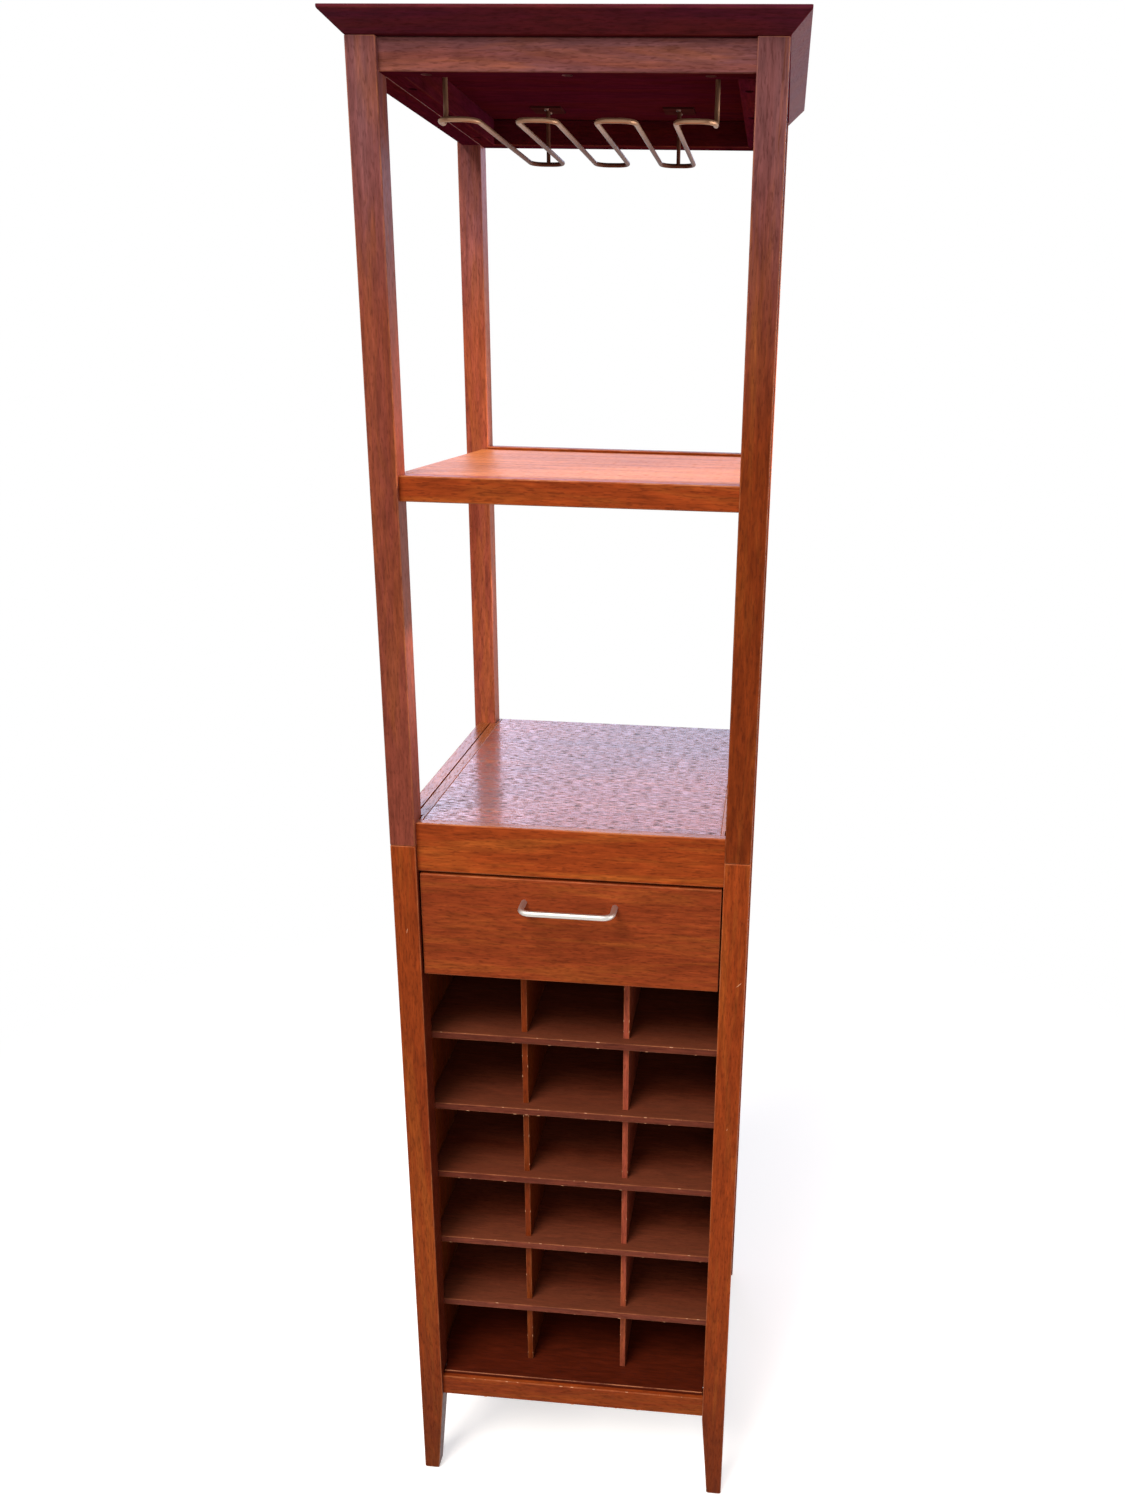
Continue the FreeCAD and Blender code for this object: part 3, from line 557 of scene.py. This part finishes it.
def bent_bar_tree():
    """Geometry tree for a round bar with rounded bends along a path."""
    if "Bent bar" in bpy.data.node_groups:
        return bpy.data.node_groups["Bent bar"]
    tree, given = new_tree("Bent bar", Diameter="Float", Bend="Float", Steps="Int", Sides="Int",
                           Material="Material")
    path = node(tree, "GeometryNodeMeshToCurve", {"Mesh": given["Geometry"]})
    bent = node(tree, "GeometryNodeFilletCurve", {"Curve": path, "Count": given["Steps"],
                                                  "Radius": given["Bend"], "Limit Radius": True}, mode="POLY")
    radius = node(tree, "ShaderNodeMath", {0: given["Diameter"], 1: 0.5}, operation="MULTIPLY")
    ring = node(tree, "GeometryNodeCurvePrimitiveCircle", {"Resolution": given["Sides"], "Radius": radius})
    bar = node(tree, "GeometryNodeCurveToMesh", {"Curve": bent, "Profile Curve": ring, "Fill Caps": True})
    smooth = node(tree, "GeometryNodeSetShadeSmooth", {"Geometry": bar})
    return finish_tree(tree, smooth, given["Material"])


def screw_tree():
    """Geometry tree for screws with a cross in the head, one at each point, heads up before the turn."""
    tree, given = new_tree("Screws", Head="Float", Height="Float", Shank="Float", Length="Float",
                           Turn="Rotation", Seed="Int", Material="Material")
    # lengths as shares of those given
    shares = (("top", "Head", 0.42), ("base", "Head", 0.5), ("arm", "Head", 0.56), ("slot", "Head", 0.14),
              ("core", "Shank", 0.5), ("sink", "Length", -0.5))
    sizes = {}
    for name, whole, share in shares:
        sizes[name] = node(tree, "ShaderNodeMath", {0: given[whole], 1: share}, operation="MULTIPLY")
    head = node(tree, "GeometryNodeMeshCone", {"Vertices": 20, "Radius Top": sizes["top"],
                                               "Radius Bottom": sizes["base"], "Depth": given["Height"]})
    crossed = node(tree, "GeometryNodeMeshBoolean", {"Mesh 1": head}, operation="DIFFERENCE",
                   solver="MANIFOLD")
    up = node(tree, "ShaderNodeCombineXYZ", {"Z": given["Height"]})
    for across, along in (("arm", "slot"), ("slot", "arm")):
        size = node(tree, "ShaderNodeCombineXYZ", {"X": sizes[across], "Y": sizes[along],
                                                   "Z": given["Height"]})
        bar = node(tree, "GeometryNodeMeshCube", {"Size": size})
        bar = node(tree, "GeometryNodeTransform", {"Geometry": bar, "Translation": up})
        tree.links.new(bar.outputs["Geometry"], crossed.inputs["Mesh 2"])
    # the cut leaves double corners
    head = node(tree, "GeometryNodeMergeByDistance", {"Geometry": crossed, "Distance": TOUCH})
    shank = node(tree, "GeometryNodeMeshCylinder", {"Vertices": 12, "Radius": sizes["core"],
                                                    "Depth": given["Length"]})
    down = node(tree, "ShaderNodeCombineXYZ", {"Z": sizes["sink"]})
    shank = node(tree, "GeometryNodeTransform", {"Geometry": shank, "Translation": down})
    screw = node(tree, "GeometryNodeJoinGeometry")
    for part in (head, shank):
        tree.links.new(part.outputs["Geometry"], screw.inputs["Geometry"])
    # each screw stops at another turn of its head
    spin = node(tree, "FunctionNodeRandomValue", {MOST: 3.1, "Seed": given["Seed"]}, data_type="FLOAT")
    spin = node(tree, "ShaderNodeCombineXYZ", {"Z": spin})
    spin = node(tree, "FunctionNodeEulerToRotation", {"Euler": spin})
    turn = node(tree, "FunctionNodeRotateRotation", {"Rotation": given["Turn"], "Rotate By": spin},
                rotation_space="LOCAL")
    placed = node(tree, "GeometryNodeInstanceOnPoints", {"Points": given["Geometry"], "Instance": screw,
                                                         "Rotation": turn})
    return finish_tree(tree, placed, given["Material"])


def nick_tree():
    """Geometry tree for nicks strewn along edges."""
    tree, given = new_tree("Nicks", Spacing="Float", Share="Float", Size="Float", Seed="Int",
                           Material="Material")
    path = node(tree, "GeometryNodeMeshToCurve", {"Mesh": given["Geometry"]})
    spots = node(tree, "GeometryNodeCurveToPoints", {"Curve": path, "Length": given["Spacing"]},
                 mode="LENGTH")
    kept = node(tree, "FunctionNodeRandomValue", {"Probability": given["Share"], "Seed": given["Seed"]},
                data_type="BOOLEAN")
    # a nick is a quarter as long as the longest, or more, and thinner than it is long
    other_seed = node(tree, "ShaderNodeMath", {0: given["Seed"], 1: 7.0}, operation="ADD")
    size = node(tree, "FunctionNodeRandomValue", {LEAST: 0.25, MOST: 1.0, "Seed": other_seed},
                data_type="FLOAT")
    size = node(tree, "ShaderNodeMath", {0: size, 1: given["Size"]}, operation="MULTIPLY")
    thin = node(tree, "ShaderNodeMath", {0: size, 1: 0.22}, operation="MULTIPLY")
    scale = node(tree, "ShaderNodeCombineXYZ", {"X": thin, "Y": thin, "Z": size})
    chip = node(tree, "GeometryNodeMeshIcoSphere", {"Radius": 1.0, "Subdivisions": 2})
    placed = node(tree, "GeometryNodeInstanceOnPoints", {
        "Points": spots, "Selection": kept, "Instance": chip, "Rotation": spots.outputs["Rotation"],
        "Scale": scale})
    return finish_tree(tree, placed, given["Material"])


def scratch_tree():
    """Geometry tree for scratches: thin raised lines that run out to nothing at both ends."""
    tree, given = new_tree("Scratches", Width="Float", Material="Material")
    path = node(tree, "GeometryNodeMeshToCurve", {"Mesh": given["Geometry"]})
    path = node(tree, "GeometryNodeResampleCurve", {"Curve": path, "Count": 9})
    share = node(tree, "GeometryNodeSplineParameter")
    share = node(tree, "ShaderNodeMath", {0: share, 1: math.pi}, operation="MULTIPLY")
    share = node(tree, "ShaderNodeMath", {0: share}, operation="SINE")
    share = node(tree, "ShaderNodeMath", {0: share, 1: 0.05}, operation="MAXIMUM")
    radius = node(tree, "ShaderNodeMath", {0: given["Width"], 1: 0.5}, operation="MULTIPLY")
    ring = node(tree, "GeometryNodeCurvePrimitiveCircle", {"Resolution": 6, "Radius": radius})
    line = node(tree, "GeometryNodeCurveToMesh", {"Curve": path, "Profile Curve": ring, "Scale": share,
                                                  "Fill Caps": True})
    return finish_tree(tree, line, given["Material"])


def solids(name):
    """Lowest and highest corner of each separate solid of a node."""
    shape = merged(name)
    waiting = set(shape.verts)
    boxes = []
    while waiting:
        group = []
        front = [waiting.pop()]
        while front:
            vert = front.pop()
            group.append(vert.co.copy())
            near = {edge.other_vert(vert) for edge in vert.link_edges} & waiting
            waiting -= near
            front += near
        low = Vector(min(co[axis] for co in group) for axis in range(3))
        high = Vector(max(co[axis] for co in group) for axis in range(3))
        boxes.append((low, high))
    shape.free()
    return sorted(boxes, key=lambda corners: tuple(corners[0]))


# Operators
class CABINET_OT_top(bpy.types.Operator):
    """Top with its bevel, the rails and strips under it"""
    bl_idname = "cabinet.top"
    bl_label = "Top"

    def execute(self, context):
        wood = context.scene.cabinet_wood
        # the top's bevel and the faces under it are drawn in dark maroon as painted shade
        dress("top_panel", dark_wood(), wood.thin_arris, rub=0.08, other=shaded_under_top(0))
        dress("top_rail_front", crosswise(), wood.arris, tone=0.92, rub=0.2, other=shaded_under_top(0))
        dress("top_rail_rear", shaded_under_top(0), wood.arris, rub=0.2, other=crosswise(), facing=(0, 1, 0))
        for side in SIDES:
            dress(f"top_rail_{side}", depthwise(), wood.arris, rub=0.2, other=shaded_under_top(1))
            dress(f"top_cleat_{side}", shaded_under_top(1), wood.thin_arris, rub=0.1)
        return {"FINISHED"}


class CABINET_OT_posts(bpy.types.Operator):
    """Eight posts, the lower ones with tapered feet"""
    bl_idname = "cabinet.posts"
    bl_label = "Posts"

    def execute(self, context):
        # the rear left upper post is drawn paler as painted light, where light reaches it past the front
        # posts
        tones = {"upper_post_front_left": 0.83, "upper_post_front_right": 0.7, "upper_post_rear_left": 1.24,
                 "lower_post_front_right": 1.08}
        dulls = {"upper_post_front_left": 0.35, "upper_post_rear_left": 0.3}
        # painted shade: the inner faces beside the grid take the deep colour, as little light reaches them
        inward = {"lower_post_front_left": (1, 0, 0), "lower_post_front_right": (-1, 0, 0)}
        for name in POSTS:
            inner = inner_wood(2) if name in inward else None
            dress(name, upright(), context.scene.cabinet_wood.arris, tone=tones.get(name, 1.0),
                  dull=dulls.get(name, 0.0), other=inner, facing=inward.get(name, (0, 0, -1)))
        frame["nodes"]["post_dowels"].data.materials[0] = plain_wood(2)
        return {"FINISHED"}


class CABINET_OT_shelf(bpy.types.Operator):
    """Middle shelf with its rails and battens"""
    bl_idname = "cabinet.shelf"
    bl_label = "Shelf"

    def execute(self, context):
        wood = context.scene.cabinet_wood
        for place in ENDS:
            # the rails' arrises are drawn fully pale: wear, and a painted highlight along the shelf's front
            # edge
            dress(f"shelf_rail_{place}", crosswise(), wood.arris, tone=1.15, rub=1.0)
            dress(f"shelf_cleat_{place}", crosswise(), wood.thin_arris)
        dress("shelf_panel", shelf_veneer(), wood.thin_arris)
        return {"FINISHED"}


class CABINET_OT_deck(bpy.types.Operator):
    """Deck with its rails and lippings"""
    bl_idname = "cabinet.deck"
    bl_label = "Deck"

    def execute(self, context):
        wood = context.scene.cabinet_wood
        up = (0, 0, 1)
        for place in ENDS:
            # the rails' arrises are drawn pale: wear, and a painted highlight along the deck's front edge
            dress(f"deck_rail_{place}", crosswise(), wood.arris, tone=1.18, rub=0.9, other=polished(0),
                  facing=up)
        for side in SIDES:
            dress(f"deck_rail_{side}", depthwise(), wood.arris, other=polished(1), facing=up)
            dress(f"deck_lipping_{side}", depthwise(), wood.thin_arris, other=polished(1), facing=up)
        dress("deck_panel", open_pored(), wood.thin_arris, tone=1.3)
        return {"FINISHED"}


class CABINET_OT_case(bpy.types.Operator):
    """Lower case: bottom rails and the panels at the bottom, the sides, the back and under the drawer"""
    bl_idname = "cabinet.case"
    bl_label = "Case"

    def execute(self, context):
        wood = context.scene.cabinet_wood
        for place in ENDS:
            dress(f"bottom_rail_{place}", crosswise(), wood.arris, tone=1.4)
        for side in SIDES:
            dress(f"bottom_rail_{side}", depthwise(), wood.arris)
            dress(f"side_panel_{side}", upright(), wood.thin_arris)
            dress(f"drawer_guide_{side}", plain_wood(1), wood.thin_arris)
        dress("bottom_panel", inner_wood(0), wood.thin_arris, rub=1.0)
        dress("dust_panel", inner_wood(0), wood.thin_arris)
        dress("back_panel", inner_wood(2), wood.thin_arris)
        frame["nodes"]["drawer_stops"].data.materials[0] = plain_wood(2)
        return {"FINISHED"}


class CABINET_OT_grid(bpy.types.Operator):
    """Shelves and dividers of the bottle grid"""
    bl_idname = "cabinet.grid"
    bl_label = "Bottle grid"

    def execute(self, context):
        wood = context.scene.cabinet_wood
        for name in GRID_SHELVES:
            # painted shade: the higher a shelf stands the darker it is drawn, as the drawer and the shelves
            # above shade it
            tone = 0.86 - 0.5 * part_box(name)[1].z
            dress(name, grid_wood(), wood.thin_arris, tone=tone, rub=0.6, other=edge_wood(),
                  facing=(0, -1, 0))
        # painted light and shade: the left divider, nearer the left wall, is drawn darker and the right one
        # paler
        for name, tone, dull in zip(GRID_DIVIDERS, (0.78, 1.5), (0.0, 0.3)):
            dress(name, upright(), wood.thin_arris, tone=tone, rub=0.4, dull=dull)
        return {"FINISHED"}


class CABINET_OT_drawer(bpy.types.Operator):
    """Drawer front and the box behind it"""
    bl_idname = "cabinet.drawer"
    bl_label = "Drawer"

    def execute(self, context):
        wood = context.scene.cabinet_wood
        dress("drawer_front", crosswise(), wood.arris, tone=1.03, dull=0.05)
        for side in SIDES:
            dress(f"drawer_side_{side}", plain_wood(1), wood.thin_arris)
        dress("drawer_back", plain_wood(0), wood.thin_arris)
        dress("drawer_bottom", plain_wood(0), wood.thin_arris / 2)
        return {"FINISHED"}


class CABINET_OT_rack(bpy.types.Operator):
    """Rack for stemware: one bent wire, its rear rods and its ceiling plates"""
    bl_idname = "cabinet.rack"
    bl_label = "Rack"
    wire: length("Wire", 4.8 * MM, "Diameter of the wire")
    rod: length("Rod", 4.5 * MM, "Diameter of the rear rods")
    bend: length("Bend", 14 * MM, "Bend radius of the wire")
    returns: length("Returns", 34 * MM, "Length of the ends behind the front bends")
    runs: IntProperty(name="Runs", description="Lengths of wire from front to rear", default=8, min=2)

    def execute(self, context):
        metal = context.scene.cabinet_nickel
        # rear darkens the rear of the rack as painted shade
        dulled = nickel("dulled_nickel", metal.dull, roughness=0.36, film=0.3, metallic=0.6, rear=0.92)
        low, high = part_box("rack_wire")
        half = self.wire / 2
        level = low.z + half
        front = low.y + half
        rear = high.y - half
        pitch = (high.x - low.x - self.wire) / (self.runs - 1)
        columns = [low.x + half + count * pitch for count in range(self.runs)]
        points = [(columns[0], front + self.returns, high.z), (columns[0], front + self.returns, level),
                  (columns[0], front, level)]
        for count, column in enumerate(columns[1:-1]):
            turns = (front, rear) if count % 2 == 0 else (rear, front)
            points += [(column, y, level) for y in turns]
        points += [(columns[-1], front, level), (columns[-1], front + self.returns, level),
                   (columns[-1], front + self.returns, high.z)]
        steps = [(count, count + 1) for count in range(len(points) - 1)]
        shape = {"Bend": self.bend, "Steps": metal.bend_steps, "Sides": metal.sides, "Material": dulled}
        wire = grown("rack_wire_bent", points, steps, bent_bar_tree(), Diameter=self.wire, **shape)
        settle(wire, dulled, "rack_wire")
        ends = []
        for foot, head in solids("rack_hangers"):
            middle = (foot + head) / 2
            ends += [(middle.x, middle.y, foot.z), (middle.x, middle.y, head.z)]
        rods = grown("rack_rods", ends, [(0, 1), (2, 3)], bent_bar_tree(), Diameter=self.rod, **shape)
        settle(rods, dulled, "rack_hangers")
        aged = nickel("aged_nickel", metal.aged, roughness=0.5, film=0.3, metallic=0.0)
        frame["nodes"]["rack_plates"].data.materials[0] = aged
        return {"FINISHED"}


class CABINET_OT_pull(bpy.types.Operator):
    """Bent nickel pull of the drawer"""
    bl_idname = "cabinet.pull"
    bl_label = "Pull"
    bar: length("Bar", 6.5 * MM, "Diameter of the bar")
    bend: length("Bend", 11 * MM, "Bend radius of the bar")

    def execute(self, context):
        metal = context.scene.cabinet_nickel
        satin = nickel("satin_nickel", metal.satin, roughness=0.46, film=0.12)
        low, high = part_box("pull")
        half = self.bar / 2
        level = (low.z + high.z) / 2
        left = low.x + half
        right = high.x - half
        points = [(left, high.y, level), (left, low.y + half, level), (right, low.y + half, level),
                  (right, high.y, level)]
        pull = grown("pull_bar", points, [(0, 1), (1, 2), (2, 3)], bent_bar_tree(), Diameter=self.bar,
                     Bend=self.bend, Steps=metal.bend_steps, Sides=metal.sides, Material=satin)
        settle(pull, satin, "pull")
        return {"FINISHED"}


class CABINET_OT_screws(bpy.types.Operator):
    """Screws of the top, the rack and the pull, each with a cross in its head"""
    bl_idname = "cabinet.screws"
    bl_label = "Screws"

    def execute(self, context):
        zinc = nickel("zinc_plate", context.scene.cabinet_nickel.zinc, roughness=0.36, film=0.4)
        tree = screw_tree()
        down = (math.pi, 0, 0)
        rearwards = (-math.pi / 2, 0, 0)
        for name, axis, head, height, shank, turn in (
                ("top_screws", 2, 8 * MM, 3 * MM, 4 * MM, down),
                ("rack_screws", 2, 6 * MM, 1.5 * MM, 3 * MM, down),
                ("pull_screws", 1, 8 * MM, 2.5 * MM, 4 * MM, rearwards)):
            seats = []
            for low, high in solids(name):
                seat = (low + high) / 2
                seat[axis] = low[axis] + height if turn is down else high[axis] - height
                seats.append(seat)
                reach = high[axis] - low[axis] - height
            screws = grown(f"{name}_crossed", seats, [], tree, Head=head, Height=height, Shank=shank,
                           Length=reach, Turn=turn, Seed=1, Material=zinc)
            settle(screws, zinc, name)
        return {"FINISHED"}


class CABINET_OT_wear(bpy.types.Operator):
    """Nicks along the edges that bottles and feet rub, and a few scratches on the posts"""
    bl_idname = "cabinet.wear"
    bl_label = "Wear"

    def execute(self, context):
        wear = context.scene.cabinet_wear
        inset = context.scene.cabinet_wood.thin_arris * 0.4
        # nicks keep clear of the ends of an edge
        shelf_end = 20 * MM
        divider_end = 10 * MM
        lines = []
        for name in GRID_SHELVES + ["bottom_panel", "bottom_rail_front"]:
            low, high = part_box(name)
            front = low.y + inset
            for z in (low.z + inset, high.z - inset):
                lines.append(((low.x + shelf_end, front, z), (high.x - shelf_end, front, z)))
        for name in GRID_DIVIDERS:
            low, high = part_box(name)
            front = low.y + inset
            for x in (low.x + inset, high.x - inset):
                lines.append(((x, front, low.z + divider_end), (x, front, high.z - divider_end)))
        for side in SIDES:
            foot = merged(f"lower_post_front_{side}")
            ends = [vert.co for vert in foot.verts if vert.co.z < inset]
            front = min(end.y for end in ends)
            across = [end.x for end in ends]
            lines.append(((min(across), front, inset), (max(across), front, inset)))
            foot.free()
        self.mark("edge_nicks", lines, nick_tree(), Spacing=wear.spacing, Share=wear.share, Size=wear.nick,
                  Seed=wear.seed)
        # both ends of each scratch, across and up the face of a post
        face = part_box("lower_post_front_left")[0].y
        scratches = (((-0.1845, 0.7935), (-0.1830, 0.8000)), ((0.1880, 0.7511), (0.1944, 0.7578)),
                     ((0.1846, 0.5630), (0.1856, 0.5660)))
        lines = [[(x, face, z) for x, z in ends] for ends in scratches]
        self.mark("post_scratches", lines, scratch_tree(), Width=wear.scratch)
        return {"FINISHED"}

    def mark(self, name, lines, tree, **values):
        """Grows marks of bare wood along separate lines."""
        points = [point for line in lines for point in line]
        pairs = [(count, count + 1) for count in range(0, len(points), 2)]
        marks = grown(name, points, pairs, tree, Material=bare_wood("bare_beech"), **values)
        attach(marks, "cabinet")


class CABINET_OT_stage(bpy.types.Operator):
    """Pale floor, soft lamps and the camera"""
    bl_idname = "cabinet.stage"
    bl_label = "Stage"

    def execute(self, context):
        stage = context.scene.cabinet_stage
        self.add_floor(stage)
        self.add_world(stage)
        # each card with its place, what it is aimed at and its size
        cards = (
            ("key_lamp", stage.key, "FFF8F0", (-2.0, -3.6, 5.8), (0, 0, 0.9), (3.0, 3.0)),
            ("front_card", stage.front_card, "FFF8F0", (0.3, -4.0, 2.6), (0, 0, 0.6), (1.6, 1.0)),
            ("fill_lamp", stage.fill, "FFFAF6", (3.2, 0.3, 1.2), (0, 0, 1.3), (2.5, 2.5)),
            ("cool_card", stage.cool_card, "B6C5FF", (-0.3, 6.0, 3.0), (0, 0, 0.95), (5.0, 1.6)),
            ("left_card", stage.left_card, "D8E0FF", (-2.4, 5.9, 3.5), (0, 0, 0.95), (2.2, 1.4)))
        for name, watts, tint, place, target, size in cards:
            card = self.add_lamp(name, "AREA", watts, tint, place, target)
            card.data.shape = "RECTANGLE"
            card.data.size, card.data.size_y = size
            card.visible_camera = False
            # the front card reaches into the cells, and is kept out of mirror images
            card.visible_glossy = name != "front_card"
        spot = self.add_lamp("shelf_lamp", "SPOT", stage.shelf_lamp, "FFE2C2", (1.9, 0.15, 2.0),
                             (0, 0.02, 1.296))
        spot.data.spot_size = math.radians(15)
        spot.data.spot_blend = 0.6
        spot.data.shadow_soft_size = 0.06
        self.add_camera(context, stage)
        context.scene.view_settings.view_transform = "Standard"
        return {"FINISHED"}

    def seen(self, tree):
        """1 for rays from the camera and for mirror images and see-through, 0 for soft light."""
        path = node(tree, "ShaderNodeLightPath").outputs
        every = path["Is Camera Ray"]
        for kind in ("Is Glossy Ray", "Is Transmission Ray"):
            every = node(tree, "ShaderNodeMath", {0: every, 1: path[kind]}, operation="MAXIMUM")
        return every

    def add_floor(self, stage):
        shape = bmesh.new()
        bmesh.ops.create_circle(shape, cap_ends=True, segments=96, radius=20.0)
        floor = keep_mesh("floor", shape)
        made, tree = new_material("pale_floor")
        place = node(tree, "ShaderNodeTexCoord").outputs["Object"]
        # a faint unevenness about 0.4 m wide, as on painted board
        uneven = pattern(tree, place, 0.4, (0.0, 1.0), (0.985, 1.0))
        pale = node(tree, "ShaderNodeVectorMath", {0: stage.floor, "Scale": uneven}, operation="SCALE")
        lit = node(tree, "ShaderNodeBsdfDiffuse", {"Color": pale})
        # nearly half of its white is its own, so that a shadow on it stays pale
        glow = node(tree, "ShaderNodeEmission", {"Strength": 0.45})
        shown = node(tree, "ShaderNodeAddShader", {0: lit, 1: glow})
        # the floor turns into the white of the background from 0.4 m to 1.6 m out
        far = node(tree, "ShaderNodeVectorMath", {0: place}, operation="LENGTH")
        far = node(tree, "ShaderNodeMapRange", {"Value": far, "From Min": 0.4, "From Max": 1.6},
                   interpolation_type="SMOOTHSTEP")
        white = node(tree, "ShaderNodeEmission", {"Strength": 1.0})
        shown = node(tree, "ShaderNodeMixShader", {0: far, 1: shown, 2: white})
        bounce = node(tree, "ShaderNodeBsdfDiffuse", {"Color": opaque(stage.bounce)})
        every = node(tree, "ShaderNodeMixShader", {0: self.seen(tree), 1: bounce, 2: shown})
        node(tree, "ShaderNodeOutputMaterial", {"Surface": every})
        floor.data.materials.append(made)

    def add_world(self, stage):
        world = bpy.data.worlds.new("studio")
        bpy.context.scene.world = world
        world.use_nodes = True
        tree = world.node_tree
        tree.nodes.clear()
        soft = node(tree, "ShaderNodeBackground", {"Color": opaque(linear("F2F4FF")),
                                                   "Strength": stage.ambient})
        white = node(tree, "ShaderNodeBackground", {"Color": (1, 1, 1, 1), "Strength": 1.0})
        every = node(tree, "ShaderNodeMixShader", {0: self.seen(tree), 1: soft, 2: white})
        node(tree, "ShaderNodeOutputWorld", {"Surface": every})

    def add_lamp(self, name, kind, watts, tint, place, target):
        """Links a lamp at one place, aimed at another."""
        lamp = bpy.data.lights.new(name, kind)
        lamp.energy = watts
        lamp.color = linear(tint)
        made = bpy.data.objects.new(name, lamp)
        made.location = place
        made.rotation_euler = (Vector(target) - Vector(place)).to_track_quat("-Z", "Y").to_euler()
        bpy.context.scene.collection.objects.link(made)
        return made

    def add_camera(self, context, stage):
        lens = bpy.data.cameras.new("camera")
        lens.sensor_width = 36
        lens.lens = stage.focal
        lens.shift_x = stage.shift_x
        lens.shift_y = stage.shift_y
        lens.clip_start = 0.05
        made = bpy.data.objects.new("camera", lens)
        turn = (Matrix.Rotation(stage.yaw, 4, "Z") @ Matrix.Rotation(math.pi / 2 - stage.pitch, 4, "X")
                @ Matrix.Rotation(-stage.roll, 4, "Z"))
        made.matrix_world = Matrix.Translation(stage.eye) @ turn
        context.scene.collection.objects.link(made)
        context.scene.camera = made


OPERATORS = (CABINET_OT_top, CABINET_OT_posts, CABINET_OT_shelf, CABINET_OT_deck, CABINET_OT_case,
             CABINET_OT_grid, CABINET_OT_drawer, CABINET_OT_rack, CABINET_OT_pull, CABINET_OT_screws,
             CABINET_OT_wear, CABINET_OT_stage)


class CABINET_PT_panel(bpy.types.Panel):
    """Lists the pieces of the cabinet and their settings"""
    bl_idname = "CABINET_PT_panel"
    bl_label = "Bottle cabinet"
    bl_space_type = "VIEW_3D"
    bl_region_type = "UI"
    bl_category = "Cabinet"

    def draw(self, context):
        for operator in OPERATORS:
            self.layout.operator(operator.bl_idname)
        for group in GROUPS:
            settings = getattr(context.scene, group)
            box = self.layout.box()
            for name in settings.bl_rna.properties.keys():
                if name not in ("rna_type", "name"):
                    box.prop(settings, name)


GROUPS = {"cabinet_wood": WoodSettings, "cabinet_nickel": NickelSettings, "cabinet_wear": WearSettings,
          "cabinet_stage": StageSettings}


def register():
    for name, group in GROUPS.items():
        bpy.utils.register_class(group)
        setattr(bpy.types.Scene, name, PointerProperty(type=group))
    for made in OPERATORS + (CABINET_PT_panel,):
        bpy.utils.register_class(made)


def unregister():
    for made in reversed(OPERATORS + (CABINET_PT_panel,)):
        bpy.utils.unregister_class(made)
    for name, group in GROUPS.items():
        delattr(bpy.types.Scene, name)
        bpy.utils.unregister_class(group)


def main():
    register()
    bpy.ops.cabinet.top()
    bpy.ops.cabinet.posts()
    bpy.ops.cabinet.shelf()
    bpy.ops.cabinet.deck()
    bpy.ops.cabinet.case()
    bpy.ops.cabinet.grid()
    bpy.ops.cabinet.drawer()
    bpy.ops.cabinet.rack()
    bpy.ops.cabinet.pull()
    bpy.ops.cabinet.screws()
    bpy.ops.cabinet.wear()
    bpy.ops.cabinet.stage()


if __name__ == "__main__":
    main()
